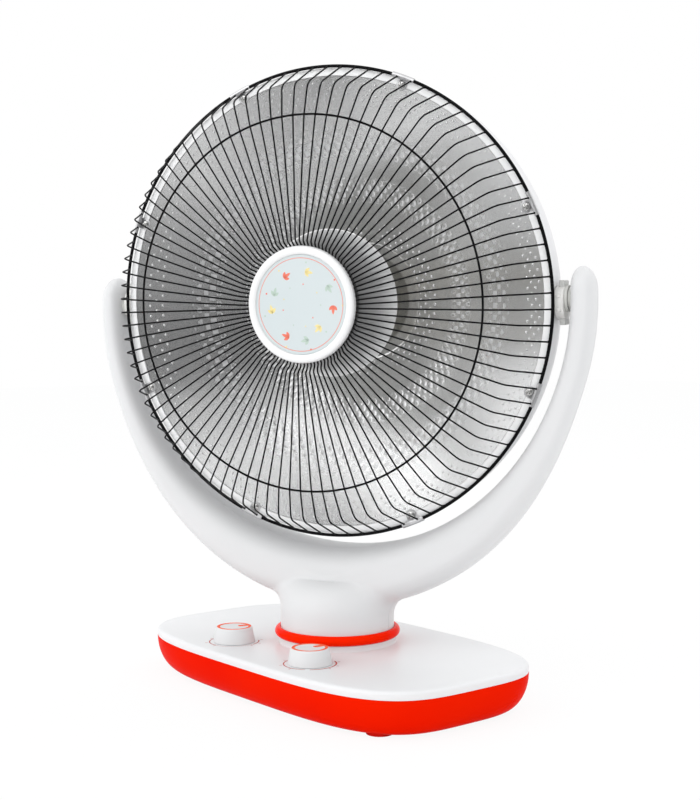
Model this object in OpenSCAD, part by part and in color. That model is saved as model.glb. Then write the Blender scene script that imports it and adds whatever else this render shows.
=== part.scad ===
// Halogen stand heater: a round reflector dish behind a wire guard, tilting in a
// crescent yoke that swings on a low base with two dials.
// Row frame: the origin is on the floor under the base's centre, the base faces -Y, +Z is up.
// The head is drawn where the photograph has it, turned and nodded from straight ahead.

/* [Base] */
// Width of the base from side to side
base_w = 362; // [330:1:400]
// Depth of the base from front to back
base_d = 203; // [195:1:230]
// Height of the base's top face above the floor
base_h = 39; // [38.5:0.5:44]
// Squareness of the base outline, where 2 is an ellipse
base_square = 3.7; // [3.2:0.1:5]
// Height of the seam between tray and cover above the floor
seam_z = 32; // [31.5:0.5:32.5]
// Radius of the cover's top edge
cover_edge_r = 5; // [3:0.5:6]
// How far the tray's floor tucks in under its rim
tray_tuck = 18; // [14:1:20]
// Wall of the base mouldings
base_wall = 2.4; // [2:0.1:3]
// How far the swivel axis lies behind the base's centre
swivel_back = 6.4; // [4:0.2:9]
// Diameter of a rubber foot
foot_d = 21; // [16:1:24]
// Height of a rubber foot below the tray
foot_h = 2; // [1.6:0.1:2.4]

/* [Controls] */
// Diameter of a dial at its foot
knob_d = 34; // [30:1:38]
// Diameter of a dial at its top
knob_top_d = 31.5; // [28:0.5:34]
// Height of a dial above the base
knob_h = 12.8; // [11:0.2:16]
// Distance of each dial from the base's middle line
knob_side = 54; // [48:1:62]
// Distance of the dials in front of the base's centre
knob_front = 65.4; // [62:0.5:68]
// Diameter of a dial's spindle
spindle_d = 6; // [5:0.5:7]

/* [Neck and swivel] */
// Diameter of the yoke's neck
neck_d = 98.6; // [92:0.2:102]
// Outer diameter of the coloured ring round the neck
trim_ring_d = 109; // [107:0.5:114]
// Height of the coloured ring
trim_ring_h = 8.2; // [6:0.2:9]
// Height of the white collar under the coloured ring
collar_h = 5.5; // [5:0.1:6]
// Outer diameter of the swivel post
post_d = 34; // [30:0.5:36]
// Bore of the swivel post, where the wires pass
post_bore_d = 24; // [18:0.5:26]
// Distance from the swivel axis to the crank's shaft
crank_back = 50; // [49:0.5:52]
// Throw of the crank pin
crank_throw = 25; // [24:0.5:25.5]

/* [Yoke] */
// Height of the crescent's underside above the floor
crescent_foot_z = 69; // [62:1:78]
// How far the tilt axis lies in front of the swivel axis
pivot_ahead = 5; // [3:0.5:7]
// Gap between the rear housing's wall and the yoke's inner face
yoke_gap = 13; // [11:0.5:16]
// Radial thickness of a yoke arm
arm_t = 19; // [18:0.5:22]
// Radial thickness of the crescent over the neck
crescent_t = 52; // [49:1:55]
// Depth of a yoke arm from front to back
arm_depth = 36; // [33:0.5:40]
// Depth of the crescent over the neck
crescent_depth = 79; // [75:1:83]
// How far an arm rises over the tilt axis
arm_rise = 26; // [24:1:32]
// Wall of the yoke shells
yoke_wall = 2.6; // [2.2:0.1:3]

/* [Guard] */
// Radius of the guard's outer ring at its wire's centre
ring_r = 200; // [196:0.5:202]
// Wire of the outer ring
ring_wire = 2.8; // [2.4:0.1:4]
// Radius of the middle ring
mid_ring_r = 155.8; // [145:0.5:165]
// Wire of the middle and inner rings
small_ring_wire = 1.8; // [1.5:0.1:2.4]
// How far the middle ring stands in front of the outer ring
mid_ahead = 42.2; // [40:0.2:44]
// Number of radial wires, a multiple of 16 so that clips fall between wires
wire_count = 96; // [80:16:112]
// Diameter of a radial wire
wire_d = 1.4; // [1.2:0.1:1.8]
// How far inside the outer ring the wires bend back
knee_inset = 18; // [15:0.5:21]
// How far the knees stand in front of the outer ring
knee_ahead = 38.5; // [36:0.5:40]
// Radius of the guard's inner ring
inner_ring_r = 42; // [40:0.5:43]

/* [Cap] */
// Diameter of the cap in the middle of the guard
cap_d = 94.4; // [92:0.2:98]
// How far the cap's face stands in front of the outer ring
cap_ahead = 50.2; // [49:0.2:52]
// Diameter of the printed disc in the cap
disc_d = 82.6; // [78:0.2:84]
// How far the disc is sunk in the cap
disc_sink = 2.6; // [2:0.2:3]

/* [Dish] */
// How far inside the outer ring the bowl's edge lies
bowl_inset = 14.5; // [12:0.5:18]
// Depth of the reflector's bowl
bowl_depth = 80; // [76:1:84]
// Width of the flat rim round the bowl
rim_flat_w = 6.5; // [5.5:0.1:7]
// Thickness of the reflector's sheet
sheet_t = 0.8; // [0.6:0.1:1]
// How far inside the outer ring's wire the rear housing's wall lies
housing_inset = 1; // [0:0.1:2]
// Depth of the rear housing behind the outer ring
housing_depth = 104; // [100:1:110]
// Wall of the rear housing
housing_wall = 2; // [1.6:0.1:2.4]
// Radius of the flat back of the housing
housing_back_r = 62; // [58:1:68]
// Number of vent slots in the housing
vent_count = 24; // [16:1:28]

/* [Emitter] */
// Radius of the hood's open edge
hood_r = 63.5; // [60:0.5:66]
// Radius of the hood behind the cap
hood_neck_r = 48; // [44:0.5:50]
// How far the hood's open edge lies behind the outer ring
hood_edge_s = 8; // [4:0.5:12]
// Number of halogen tubes
lamp_count = 3; // [2:1:4]
// Diameter of a halogen tube
lamp_d = 10; // [8:0.5:11]
// Distance of the tubes from the dish's axis
lamp_orbit = 13.4; // [13:0.1:14]

/* [Pose] */
// How far the head is swung to the right of straight ahead
head_swing = 26.4; // [0:0.1:28]
// How far the head is nodded down
head_nod = 3; // [0:1:8]

/* [Hidden] */

$fn = 64;
eps = 0.01;
running_gap = 0.05;
weld_gap = 0.05;
seat_gap = 0.2;
white = "#f2f2f2";
orange_red = "#f03010";
steel = "#b8bcc0";
black = "#1c1c1e";
brass = "#c9a24a";
ceramic = "#e9e4d8";

// Radii of the head, from the outer ring inward, and the yoke round it
knee_r = ring_r - knee_inset;
bowl_r = ring_r - bowl_inset;
housing_r = ring_r - housing_inset;
yoke_inner_r = housing_r + yoke_gap;
// Height of the tilt axis above the floor
pivot_h = crescent_foot_z + crescent_t + yoke_inner_r;

// Base levels and inner sizes
tray_z = foot_h;
floor_z = tray_z + base_wall;
ceiling_z = base_h - base_wall;
outline_points = 64;
collar_top_z = base_h + collar_h;
neck_foot_z = collar_top_z + 0.5;
trim_gap = 0.35;
collar_bore_r = neck_d / 2 - 7;
foot_spots = [[136, 61.5], [-136, 61.5], [136, -61.5], [-136, -61.5]];
foot_recess = 1;
base_screw_spots = [[146, 36], [-146, 36], [146, -36], [-146, -36], [62, 76], [-62, 76], [0, -76]];
boss_r = 6;
boss_meet_z = 15;
base_screw_r = 1.9;
base_screw_head_r = 3.6;
base_screw_head_h = 2;
base_screw_seat_z = floor_z + 2;
base_screw_top_z = boss_meet_z + 10;
screw_clearance = 0.2;

// Swivel levels
bearing_r = 24;
bearing_foot_z = 20;
bearing_flange_t = 3;
bearing_top_z = collar_top_z + 4.5;
washer_t = 1;
post_flange_z = bearing_top_z + washer_t;
post_flange_t = 4;
post_foot_z = 10.5;
lever_z = 11;
lever_t = 2.4;
clip_ring_t = 1.6;
clip_ring_z = bearing_foot_z - seat_gap - clip_ring_t;
clip_ring_r = 21;
clip_groove_r = post_d / 2 - 1.2;
crank_r = crank_throw + 4;
crank_z = 14.5;
crank_t = 2.5;
crank_pin_r = 2.5;
pin_gap = 0.4;
motor_r = 24.5;
motor_foot_z = crank_z + crank_t + 2;
motor_shaft_r = 3.5;
motor_shaft_h = 7;
lever_slot_r = crank_pin_r + 0.3;
crank_turn = head_swing + asin(crank_back * sin(head_swing) / crank_throw);

// Controls
knob_y = -knob_front;
knob_lift = 0.4;
knob_wall = 2;
bush_r = 5;
bush_top_z = base_h + 2.6;
spindle_foot_z = ceiling_z - 8;
spindle_top_z = base_h + 9.5;
timer_r = 22;
timer_h = ceiling_z - floor_z - 5;
switch_size = [32, 28, 17];
ballast_size = [90, 58, 5];
ballast_spot = [86, 18];
terminal_size = [40, 16, 12];
terminal_spot = [116, -46];

// Tip-over switch
tip_spot = [-92, -42];
tip_rod_r = 3;
tip_collar_r = 5;
tip_travel = 3;
tip_collar_t = 1.5;
tip_rest_z = 0.1;
tip_switch_size = [22, 12, 14];
tip_switch_gap = 1.2;

// Cord inlet
cord_r = 4.2;
gland_r = 7;
gland_x = 95;
gland_z = 17;
gland_pad_r = 11;
gland_flange_r = 9.5;
gland_length = 15;
gland_wall_y = base_d / 2 - 1.2;

// Yoke
yoke_steps = 34;
yoke_ring_points = 20;
yoke_square = 2.8;
arm_end_angle = asin(arm_rise / (yoke_inner_r + arm_t / 2));
flare_start = 16.5;
flare_end = 89;
cap_steps = 3;
arm_mid_y = -1.8;
crescent_mid_y = pivot_ahead + 14;
neck_shoulder_h = 28;
neck_shoulder_in = 26;
neck_top_z = pivot_h - yoke_inner_r - crescent_t / 2;
ledge_t = 3;
ledge_r = neck_d / 2 - 10;
yoke_screw_angles = [-28, -52, -74, -106, -128, -152];
yoke_screw_r = 1.6;
yoke_screw_head_r = 3;
yoke_screw_head_h = 2;
yoke_screw_bite = 11;
yoke_boss_r = 5;
yoke_boss_floor = 4;
yoke_split_y = pivot_ahead / 2;

// Tilt joint, as distances along the tilt axis, which lies behind the outer ring's plane
ring_ahead = 17.7;
pivot_bolt_r = 4;
pivot_bolt_end = yoke_inner_r + arm_t - yoke_wall - 4;
pivot_plate_r = 17;
pivot_hub_r = ring_ahead - ring_wire / 2 - 0.4;
pivot_disc_in = ring_r + ring_wire / 2 + 0.4;
pivot_hub_in = bowl_r + rim_flat_w + 0.4;
pivot_head_r = 7;
pivot_head_h = 4;
friction_t = 2.4;
bush_rise = 2.5;
pivot_plate_out = yoke_inner_r - bush_rise - seat_gap - friction_t;
friction_r = 11;
friction_out = pivot_plate_out + friction_t;
bush_in = friction_out + seat_gap;
tilt_bush_r = 9;
tilt_bush_out = yoke_inner_r + arm_t - yoke_wall - 0.6;

// Dish levels, measured backward from the outer ring's plane
ring_stand_off = 0.7;
rim_face_s = ring_wire / 2 + ring_stand_off;
rim_step_t = 1.8;
bowl_rim_r = bowl_r + rim_flat_w;
bowl_rim_s = rim_face_s + 1;
bowl_steps = 8;
bowl_band_w = 53;
bowl_outer_band_r = bowl_r - bowl_band_w;
bowl_inner_band_r = bowl_outer_band_r - bowl_band_w;
bowl_hole_r = 22;
dome_start_s = 22;
dome_steps = 16;
vent_outer_inset = 46;
vent_length = 38;
vent_w = 5;
holder_r = bowl_hole_r - 0.5;
holder_front_s = bowl_rim_s + bowl_depth - 6;
housing_inner_s = housing_depth - housing_wall;
back_cover_r = 56;
back_cover_h = 18;
hood_back_s = -33;
hood_wall = 0.8;
hood_rod_r = 3;
front_holder_r = 26;
front_holder_t = 12;
lamp_socket = 6;

// Guard levels
cap_body_t = 6.8;
cap_back_s = -cap_ahead + cap_body_t;
inner_wire_s = cap_back_s + wire_d / 2 + weld_gap;
inner_ring_s = inner_wire_s + wire_d / 2 + small_ring_wire / 2 + weld_gap;
clamp_s = inner_ring_s + small_ring_wire / 2 + weld_gap;
clamp_t = 2;
mid_wire_s = -mid_ahead - small_ring_wire / 2 - wire_d / 2 - weld_gap;
step_r = cap_d / 2 + 2.5;
step_w = 5;
step_s = -cap_ahead + 2.4;
knee_bend_r = 12;
wire_sides = 6;
wire_pitch = 360 / wire_count;
clip_count = 8;
clip_width_deg = 0.75 * wire_pitch;
clip_t = 0.9;
clip_gap = 0.1;
clip_screw_orbit = ring_r - 6.2;
clip_screw_r = 1.4;
clip_screw_head_r = 3.2;
clip_screw_head_h = 1.6;
cap_screw_orbit = 30;
cap_screw_r = 1.4;
cap_screw_bite = 2.8;

// Outline and sweep helpers

function signed_power(value, power) = sign(value) * pow(abs(value), power);

// Points of a rounded, bulging rectangle, counter-clockwise, at height z
function outline(width, depth, square, count, z) = [
    for (i = [0 : count - 1])
        let (t = 360 * i / count)
            [width / 2 * signed_power(cos(t), 2 / square),
             depth / 2 * signed_power(sin(t), 2 / square), z]];

function base_outline(inset, z) =
    outline(base_w - 2 * inset, base_d - 2 * inset, base_square, outline_points, z);

// How far the tray's side is tucked in at height z
function tuck(z) = let (t = (seam_z - z) / (seam_z - tray_z + 0.5))
    tray_tuck * (1 - sqrt(1 - t * t));

// Solid through a stack of rings, each with the same number of points
module loft(rings) {
    n = len(rings[0]);
    m = len(rings);
    polyhedron(
        points = [for (ring = rings) each ring],
        faces = [
            [for (i = [0 : n - 1]) i],
            [for (i = [0 : n - 1]) m * n - 1 - i],
            for (k = [0 : m - 2])
                for (i = [0 : n - 1])
                    let (a = k * n + i, b = k * n + (i + 1) % n)
                        each [[a, a + n, b + n], [a, b + n, b]]]);
}

module ring_of_wire(radius, wire) {
    rotate_extrude()
        translate([radius, 0])
            circle(d = wire);
}

module tube(outer_r, inner_r, height) {
    difference() {
        cylinder(r = outer_r, h = height);
        translate([0, 0, -eps])
            cylinder(r = inner_r, h = height + 2 * eps);
    }
}

// Frames: the swivel axis, the swung yoke and the nodded dish

module at_swivel() {
    translate([0, swivel_back, 0])
        children();
}

module on_yoke() {
    at_swivel()
        rotate([0, 0, head_swing])
            children();
}

module on_tilt_axis() {
    on_yoke()
        translate([0, -pivot_ahead, pivot_h])
            children();
}

module in_head() {
    on_tilt_axis()
        rotate([head_nod, 0, 0])
            children();
}

// Local +Z runs backward along the dish's axis, from the outer ring's plane
module on_dish() {
    in_head()
        translate([0, -ring_ahead, 0])
            rotate([-90, 0, 0])
                children();
}

// Local +Z runs outward along the tilt axis, once for each side
module both_pivots() {
    for (side = [1, -1])
        rotate([0, side * 90, 0])
            children();
}

// Base

module tray_block(inset, low_z, over) {
    levels = 6;
    loft([for (k = [0 : levels])
        let (z = low_z + (seam_z - low_z) * pow(k / levels, 1.5))
            base_outline(inset + tuck(max(z, tray_z)), z),
        if (over > 0)
            base_outline(inset, seam_z + over)]);
}

module base_tray() color(orange_red) difference() {
    union() {
        difference() {
            tray_block(0, tray_z, 0);
            tray_block(base_wall, floor_z, 1);
        }
        for (spot = base_screw_spots)
            translate([spot.x, spot.y, floor_z - eps])
                cylinder(r = boss_r, h = boss_meet_z - floor_z + eps);
        translate([gland_x, gland_wall_y, gland_z])
            rotate([90, 0, 0])
                cylinder(r = gland_pad_r, h = gland_length - 3);
        for (side = [-1, 1])
            translate([tip_spot.x + side * 9 - 2, tip_spot.y - 5, floor_z - eps])
                cube([4, 10, tip_switch_z - floor_z + eps]);
    }
    for (spot = base_screw_spots)
        translate([spot.x, spot.y, 0]) {
            cylinder(r = base_screw_head_r + screw_clearance, h = base_screw_seat_z);
            cylinder(r = base_screw_r + screw_clearance, h = boss_meet_z + 1);
        }
    for (spot = foot_spots)
        translate([spot.x, spot.y, 0])
            cylinder(d = foot_d + 2 * running_gap, h = tray_z + foot_recess);
    translate([tip_spot.x, tip_spot.y, 0])
        cylinder(r = tip_rod_r + running_gap, h = floor_z + 1);
    translate([gland_x, 0, gland_z])
        rotate([-90, 0, 0])
            cylinder(r = gland_r + running_gap, h = base_d);
}

// Height of the tip-over switch's underside, over the plunger's collar
tip_collar_z = floor_z + tip_travel;
tip_switch_z = tip_collar_z + tip_collar_t + tip_switch_gap;

module base_top_cover() color(white) difference() {
    union() {
        difference() {
            cover_block(0, base_h, seam_z);
            cover_block(base_wall, ceiling_z, seam_z - 1);
        }
        for (spot = base_screw_spots)
            translate([spot.x, spot.y, boss_meet_z + seat_gap])
                cylinder(r = boss_r - 1, h = ceiling_z - boss_meet_z - seat_gap + eps);
        at_swivel()
            translate([0, 0, ceiling_z])
                cylinder(d = neck_d + 3, h = collar_top_z - ceiling_z);
    }
    at_swivel()
        translate([0, 0, ceiling_z - 1])
            cylinder(r = collar_bore_r, h = collar_top_z - ceiling_z + 2);
    for (side = [-1, 1])
        translate([side * knob_side, knob_y, ceiling_z - 1])
            cylinder(r = bush_r + running_gap, h = base_wall + 2);
    for (spot = base_screw_spots)
        translate([spot.x, spot.y, boss_meet_z])
            cylinder(r = base_screw_r, h = base_screw_top_z - boss_meet_z);
}

// Cover with its top edge rounded by a quarter circle
module cover_block(inset, top_z, low_z) {
    edge = cover_edge_r - inset;
    loft([base_outline(inset, low_z),
        for (k = [0 : 4])
            let (a = 90 * k / 4)
                base_outline(inset + edge * (1 - cos(a)), top_z - edge + edge * sin(a))]);
}

module ballast_plates() color(steel) for (side = [-1, 1])
    translate([side * ballast_spot.x - ballast_size.x / 2, ballast_spot.y - ballast_size.y / 2,
            floor_z])
        cube(ballast_size);

module rubber_feet() color(black)
    for (spot = foot_spots)
        translate([spot.x, spot.y, 0])
            cylinder(d = foot_d, h = tray_z + foot_recess);

module base_screws() color(steel)
    for (spot = base_screw_spots)
        translate([spot.x, spot.y, 0]) {
            translate([0, 0, base_screw_seat_z - base_screw_head_h])
                cylinder(r = base_screw_head_r, h = base_screw_head_h);
            translate([0, 0, base_screw_seat_z - eps])
                cylinder(r = base_screw_r, h = base_screw_top_z - base_screw_seat_z - 1);
        }

module swivel_trim_ring() color(orange_red) at_swivel() translate([0, 0, collar_top_z])
    rotate_extrude()
        difference() {
            intersection() {
                translate([trim_ring_d / 2 - trim_ring_h / 2, trim_ring_h / 2])
                    circle(d = trim_ring_h);
                translate([neck_d / 2 + trim_gap, 0])
                    square([trim_ring_d, trim_ring_h]);
            }
            translate([0, -1])
                square([neck_d / 2 + trim_gap, trim_ring_h + 2]);
        }

module swivel_bearing() color(steel) at_swivel() difference() {
    union() {
        translate([0, 0, bearing_foot_z])
            cylinder(r = bearing_r, h = bearing_top_z - bearing_foot_z);
        translate([0, 0, ceiling_z - bearing_flange_t])
            cylinder(r = collar_bore_r + 8, h = bearing_flange_t);
    }
    translate([0, 0, bearing_foot_z - 1])
        cylinder(d = post_d + 2 * running_gap, h = bearing_top_z);
    translate([0, crank_back, bearing_foot_z - 1])
        cylinder(r = motor_r + 0.5, h = base_h);
}

module thrust_washer() color(brass) at_swivel() translate([0, 0, bearing_top_z])
    tube(bearing_r, post_d / 2 + running_gap, washer_t);

module oscillation_motor() color(steel) at_swivel() translate([0, crank_back, 0]) difference() {
    union() {
        translate([0, 0, motor_foot_z])
            cylinder(r = motor_r, h = ceiling_z - motor_foot_z);
        translate([-motor_r - 5, -4, ceiling_z - 1.2])
            cube([2 * motor_r + 10, 8, 1.2]);
    }
    translate([0, 0, motor_foot_z - 1])
        cylinder(r = motor_shaft_r + running_gap, h = motor_shaft_h + 1);
}

module crank_disc() color(white) at_swivel() translate([0, crank_back, 0])
    rotate([0, 0, crank_turn]) {
        translate([0, 0, crank_z])
            cylinder(r = crank_r, h = crank_t);
        translate([0, 0, crank_z + crank_t - eps])
            cylinder(r = motor_shaft_r, h = motor_shaft_h);
        translate([0, crank_throw, lever_z + lever_t + pin_gap])
            cylinder(r = crank_pin_r, h = crank_z - lever_z - lever_t - pin_gap + eps);
    }

module control_bush() {
    translate([0, 0, ceiling_z - eps])
        cylinder(r = bush_r, h = bush_top_z - ceiling_z);
}

module power_switch() color(black) translate([knob_side, knob_y, 0]) difference() {
    union() {
        translate([-switch_size.x / 2, -switch_size.y / 2, ceiling_z - switch_size.z])
            cube(switch_size);
        control_bush();
    }
    translate([0, 0, spindle_foot_z - 0.5])
        cylinder(d = spindle_d + 2 * running_gap, h = base_h);
}

module timer_switch() color(steel) translate([-knob_side, knob_y, 0]) difference() {
    union() {
        translate([0, 0, ceiling_z - timer_h])
            cylinder(r = timer_r, h = timer_h);
        control_bush();
    }
    translate([0, 0, spindle_foot_z - 0.5])
        cylinder(d = spindle_d + 2 * running_gap, h = base_h);
}

module spindle() {
    translate([0, 0, spindle_foot_z])
        cylinder(d = spindle_d, h = spindle_top_z - spindle_foot_z);
}

module power_spindle() color(brass) translate([knob_side, knob_y, 0])
    spindle();

module timer_spindle() color(brass) translate([-knob_side, knob_y, 0])
    spindle();

module knob() {
    foot_z = base_h + knob_lift;
    top_edge = 1.2;
    difference() {
        translate([0, 0, foot_z])
            rotate_extrude()
                polygon([[0, 0], [knob_d / 2, 0], [knob_top_d / 2, knob_h - top_edge],
                    [knob_top_d / 2 - top_edge, knob_h], [0, knob_h]]);
        translate([0, 0, foot_z - eps])
            cylinder(d = knob_top_d - 2 * knob_wall - 2, h = bush_top_z - foot_z + 1);
        translate([0, 0, foot_z])
            cylinder(d = spindle_d, h = spindle_top_z - foot_z + seat_gap);
    }
}

module power_knob() color(white) translate([knob_side, knob_y, 0])
    knob();

module timer_knob() color(white) translate([-knob_side, knob_y, 0])
    knob();

module terminal_block() color(ceramic)
    translate([terminal_spot.x, terminal_spot.y, floor_z])
        difference() {
            translate([-terminal_size.x / 2, -terminal_size.y / 2, 0])
                cube(terminal_size);
            for (x = [-12, 0, 12])
                translate([x, 0, 4])
                    cylinder(r = 2.2, h = terminal_size.z);
        }

module cord_gland() color(black) translate([gland_x, gland_wall_y, gland_z])
    rotate([-90, 0, 0])
        difference() {
            union() {
                cylinder(r = gland_flange_r, h = 3);
                translate([0, 0, 3 - gland_length])
                    cylinder(r = gland_r, h = gland_length);
            }
            translate([0, 0, -gland_length])
                cylinder(r = cord_r, h = 2 * gland_length);
        }

module tip_over_switch() color(black) translate([tip_spot.x, tip_spot.y, tip_switch_z])
    translate([-tip_switch_size.x / 2, -tip_switch_size.y / 2, 0])
        cube(tip_switch_size);

module tip_over_plunger() color(orange_red) translate([tip_spot.x, tip_spot.y, 0]) {
    translate([0, 0, tip_rest_z])
        cylinder(r = tip_rod_r, h = tip_collar_z + tip_collar_t - tip_rest_z);
    translate([0, 0, tip_collar_z])
        cylinder(r = tip_collar_r, h = tip_collar_t);
}

// Yoke

function ease(t) = let (u = min(1, max(0, t))) u * u * (3 - 2 * u);

// How far round from an arm to the neck an angle of the sweep is, 0 to 1
function flare(angle) = ease((-angle - flare_start) / (flare_end - flare_start));

// Share of the full section at each of the sweep's ends, for a rounded tip
function tip_share(k) = k < cap_steps ? sqrt(1 - pow(1 - (k + 0.35) / cap_steps, 2)) : 1;

// Sizes of the yoke's section at an angle of the sweep
function section_grow(angle) = flare(angle < -90 ? -180 - angle : angle);
function section_thick(angle) = arm_t + (crescent_t - arm_t) * section_grow(angle);
function section_depth(angle) = arm_depth + (crescent_depth - arm_depth) * section_grow(angle);
function section_mid_r(angle) = yoke_inner_r + section_thick(angle) / 2;
function section_mid_y(angle) =
    arm_mid_y + (crescent_mid_y - arm_mid_y) * section_grow(angle);

// One section of the yoke at an angle from the right arm, seen from the front
function yoke_section(angle, inset, share) =
    let (
        half_thick = share * (section_thick(angle) / 2 - inset),
        half_depth = share * (section_depth(angle) / 2 - inset))
    [for (i = [0 : yoke_ring_points - 1])
        let (
            t = 360 * i / yoke_ring_points,
            r = section_mid_r(angle) + half_thick * signed_power(cos(t), 2 / yoke_square),
            y = section_mid_y(angle) + half_depth * signed_power(sin(t), 2 / yoke_square))
        [r * cos(angle), y, r * sin(angle)]];

// One section near a tip of the yoke, the k-th from the end, with dir pointing inward
function tip_section(end_angle, dir, k, inset) =
    let (
        tip_deg = arm_depth / 2 / yoke_inner_r * 180 / PI,
        share = tip_share(k))
    yoke_section(end_angle + dir * tip_deg * (1 - sqrt(1 - share * share)), inset, share);

module crescent(inset) {
    inset_deg = inset / yoke_inner_r * 180 / PI;
    tip_deg = arm_depth / 2 / yoke_inner_r * 180 / PI;
    right_end = arm_end_angle - inset_deg;
    left_end = -180 - right_end;
    body_sweep = right_end - left_end - 2 * tip_deg;
    loft(concat(
        [for (k = [0 : cap_steps - 1]) tip_section(left_end, 1, k, inset)],
        [for (k = [0 : yoke_steps])
            yoke_section(left_end + tip_deg + body_sweep * k / yoke_steps, inset, 1)],
        [for (k = [cap_steps - 1 : -1 : 0]) tip_section(right_end, -1, k, inset)]));
}

// Neck with a round shoulder that leans back into the crescent
module neck(inset, low_z) {
    r = neck_d / 2 - inset;
    rotate_extrude()
        polygon([[0, low_z], [r, low_z],
            for (k = [0 : 6])
                let (a = 90 * k / 6)
                    [r - neck_shoulder_in * (1 - cos(a)),
                     neck_top_z - inset - neck_shoulder_h * (1 - sin(a))],
            [0, neck_top_z - inset]]);
}

module yoke_shell() {
    difference() {
        union() {
            on_tilt_axis()
                crescent(0);
            at_swivel()
                neck(0, neck_foot_z);
        }
        on_tilt_axis()
            crescent(yoke_wall);
        at_swivel()
            neck(yoke_wall, neck_foot_z - 1);
    }
}

module front_half() {
    reach = yoke_inner_r + crescent_t + 20;
    on_tilt_axis()
        translate([-reach, yoke_split_y - reach, -pivot_h])
            cube([2 * reach, reach, pivot_h + reach]);
}

module yoke_seat() {
    at_swivel()
        translate([0, 0, post_flange_z + post_flange_t])
            tube(neck_d / 2 - yoke_wall + eps, ledge_r, ledge_t);
}

module yoke_cuts() {
    on_tilt_axis()
        both_pivots()
            cylinder(r = tilt_bush_r + running_gap, h = tilt_bush_out);
}

module yoke_front_shell() color(white) difference() {
    union() {
        intersection() {
            union() {
                yoke_shell();
                yoke_seat();
            }
            front_half();
        }
        on_yoke_screws()
            translate([0, 0, -$boss_front])
                cylinder(r = yoke_boss_r, h = $boss_front);
    }
    yoke_cuts();
    on_yoke_screws()
        translate([0, 0, -yoke_screw_bite - 1])
            cylinder(r = yoke_screw_r, h = yoke_screw_bite + 2);
}

module yoke_rear_shell() color(white) difference() {
    union() {
        difference() {
            union() {
                yoke_shell();
                yoke_seat();
            }
            front_half();
        }
        on_yoke_screws()
            cylinder(r = yoke_boss_r, h = $boss_rear);
    }
    yoke_cuts();
    on_yoke_screws() {
        translate([0, 0, -1])
            cylinder(r = yoke_screw_r + screw_clearance, h = yoke_boss_floor + 2);
        translate([0, 0, yoke_boss_floor])
            cylinder(r = yoke_screw_head_r + screw_clearance, h = crescent_depth);
    }
}

// Screw places on the shells' split plane, with local +Z to the rear, and how far the
// bosses reach from there into the front and the rear wall
module on_yoke_screws() {
    on_tilt_axis()
        for (a = yoke_screw_angles)
            rotate([0, -a, 0])
                translate([section_mid_r(a), yoke_split_y, 0])
                    rotate([-90, 0, 0]) {
                        reach = (section_depth(a) - yoke_wall) / 2;
                        $boss_front = reach + yoke_split_y - section_mid_y(a);
                        $boss_rear = reach - yoke_split_y + section_mid_y(a);
                        children();
                    }
}

module yoke_screws() color(steel) on_yoke_screws() {
    translate([0, 0, -yoke_screw_bite])
        cylinder(r = yoke_screw_r, h = yoke_screw_bite + yoke_boss_floor + eps);
    translate([0, 0, yoke_boss_floor])
        cylinder(r = yoke_screw_head_r, h = yoke_screw_head_h);
}

module swivel_post() color(steel) on_yoke() difference() {
    union() {
        translate([0, 0, post_foot_z])
            cylinder(d = post_d, h = post_flange_z - post_foot_z + eps);
        translate([0, 0, post_flange_z])
            cylinder(r = neck_d / 2 - yoke_wall - seat_gap, h = post_flange_t);
    }
    translate([0, 0, post_foot_z - 1])
        cylinder(d = post_bore_d, h = 100);
    translate([0, 0, clip_ring_z])
        tube(clip_ring_r, clip_groove_r, clip_ring_t);
}

module post_retaining_ring() color(black) on_yoke() translate([0, 0, clip_ring_z])
    difference() {
        tube(clip_ring_r, clip_groove_r, clip_ring_t);
        translate([-4, -clip_ring_r - 1, -1])
            cube([8, clip_ring_r + 1, clip_ring_t + 2]);
    }

module drive_lever() color(steel) on_yoke() translate([0, 0, lever_z]) difference() {
    union() {
        cylinder(r = post_d / 2 + 5, h = lever_t);
        translate([-8, 0, 0])
            cube([16, crank_back + crank_throw, lever_t]);
        translate([0, crank_back + crank_throw, 0])
            cylinder(r = 8, h = lever_t);
    }
    translate([0, 0, -1])
        cylinder(d = post_d, h = lever_t + 2);
    translate([-lever_slot_r, crank_back - crank_throw, -1])
        cube([2 * lever_slot_r, 2 * crank_throw, lever_t + 2]);
    translate([0, crank_back + crank_throw, -1])
        cylinder(r = lever_slot_r, h = lever_t + 2);
    translate([0, crank_back - crank_throw, -1])
        cylinder(r = lever_slot_r, h = lever_t + 2);
}

module tilt_bushes() color(ceramic) on_tilt_axis() both_pivots()
    translate([0, 0, bush_in])
        tube(tilt_bush_r, pivot_bolt_r + running_gap, tilt_bush_out - bush_in);

// Dish and housing

function bowl_s(r) = bowl_rim_s + bowl_depth * (1 - pow(r / bowl_r, 2));

// Sheet of the bowl between two radii
module bowl_band(outer_r, inner_r, rim) rotate_extrude()
    polygon([
        if (rim) [bowl_rim_r, bowl_rim_s],
        for (k = [0 : bowl_steps])
            let (r = outer_r + (inner_r - outer_r) * k / bowl_steps) [r, bowl_s(r)],
        for (k = [bowl_steps : -1 : 0])
            let (r = outer_r + (inner_r - outer_r) * k / bowl_steps) [r, bowl_s(r) + sheet_t],
        if (rim) [bowl_rim_r, bowl_rim_s + sheet_t]]);

module reflector() color(steel) on_dish() bowl_band(bowl_r, bowl_outer_band_r, true);

module reflector_middle() color(steel) on_dish()
    bowl_band(bowl_outer_band_r - weld_gap, bowl_inner_band_r, false);

module reflector_centre() color(steel) on_dish()
    bowl_band(bowl_inner_band_r - weld_gap, bowl_hole_r, false);

// Radius of the housing's outside where the dome has turned by angle a
function dome_r(a) = housing_back_r + (housing_r - housing_back_r) * pow(cos(a), 0.9);
function dome_s(a) = dome_start_s + (housing_depth - dome_start_s) * sin(a);

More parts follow.
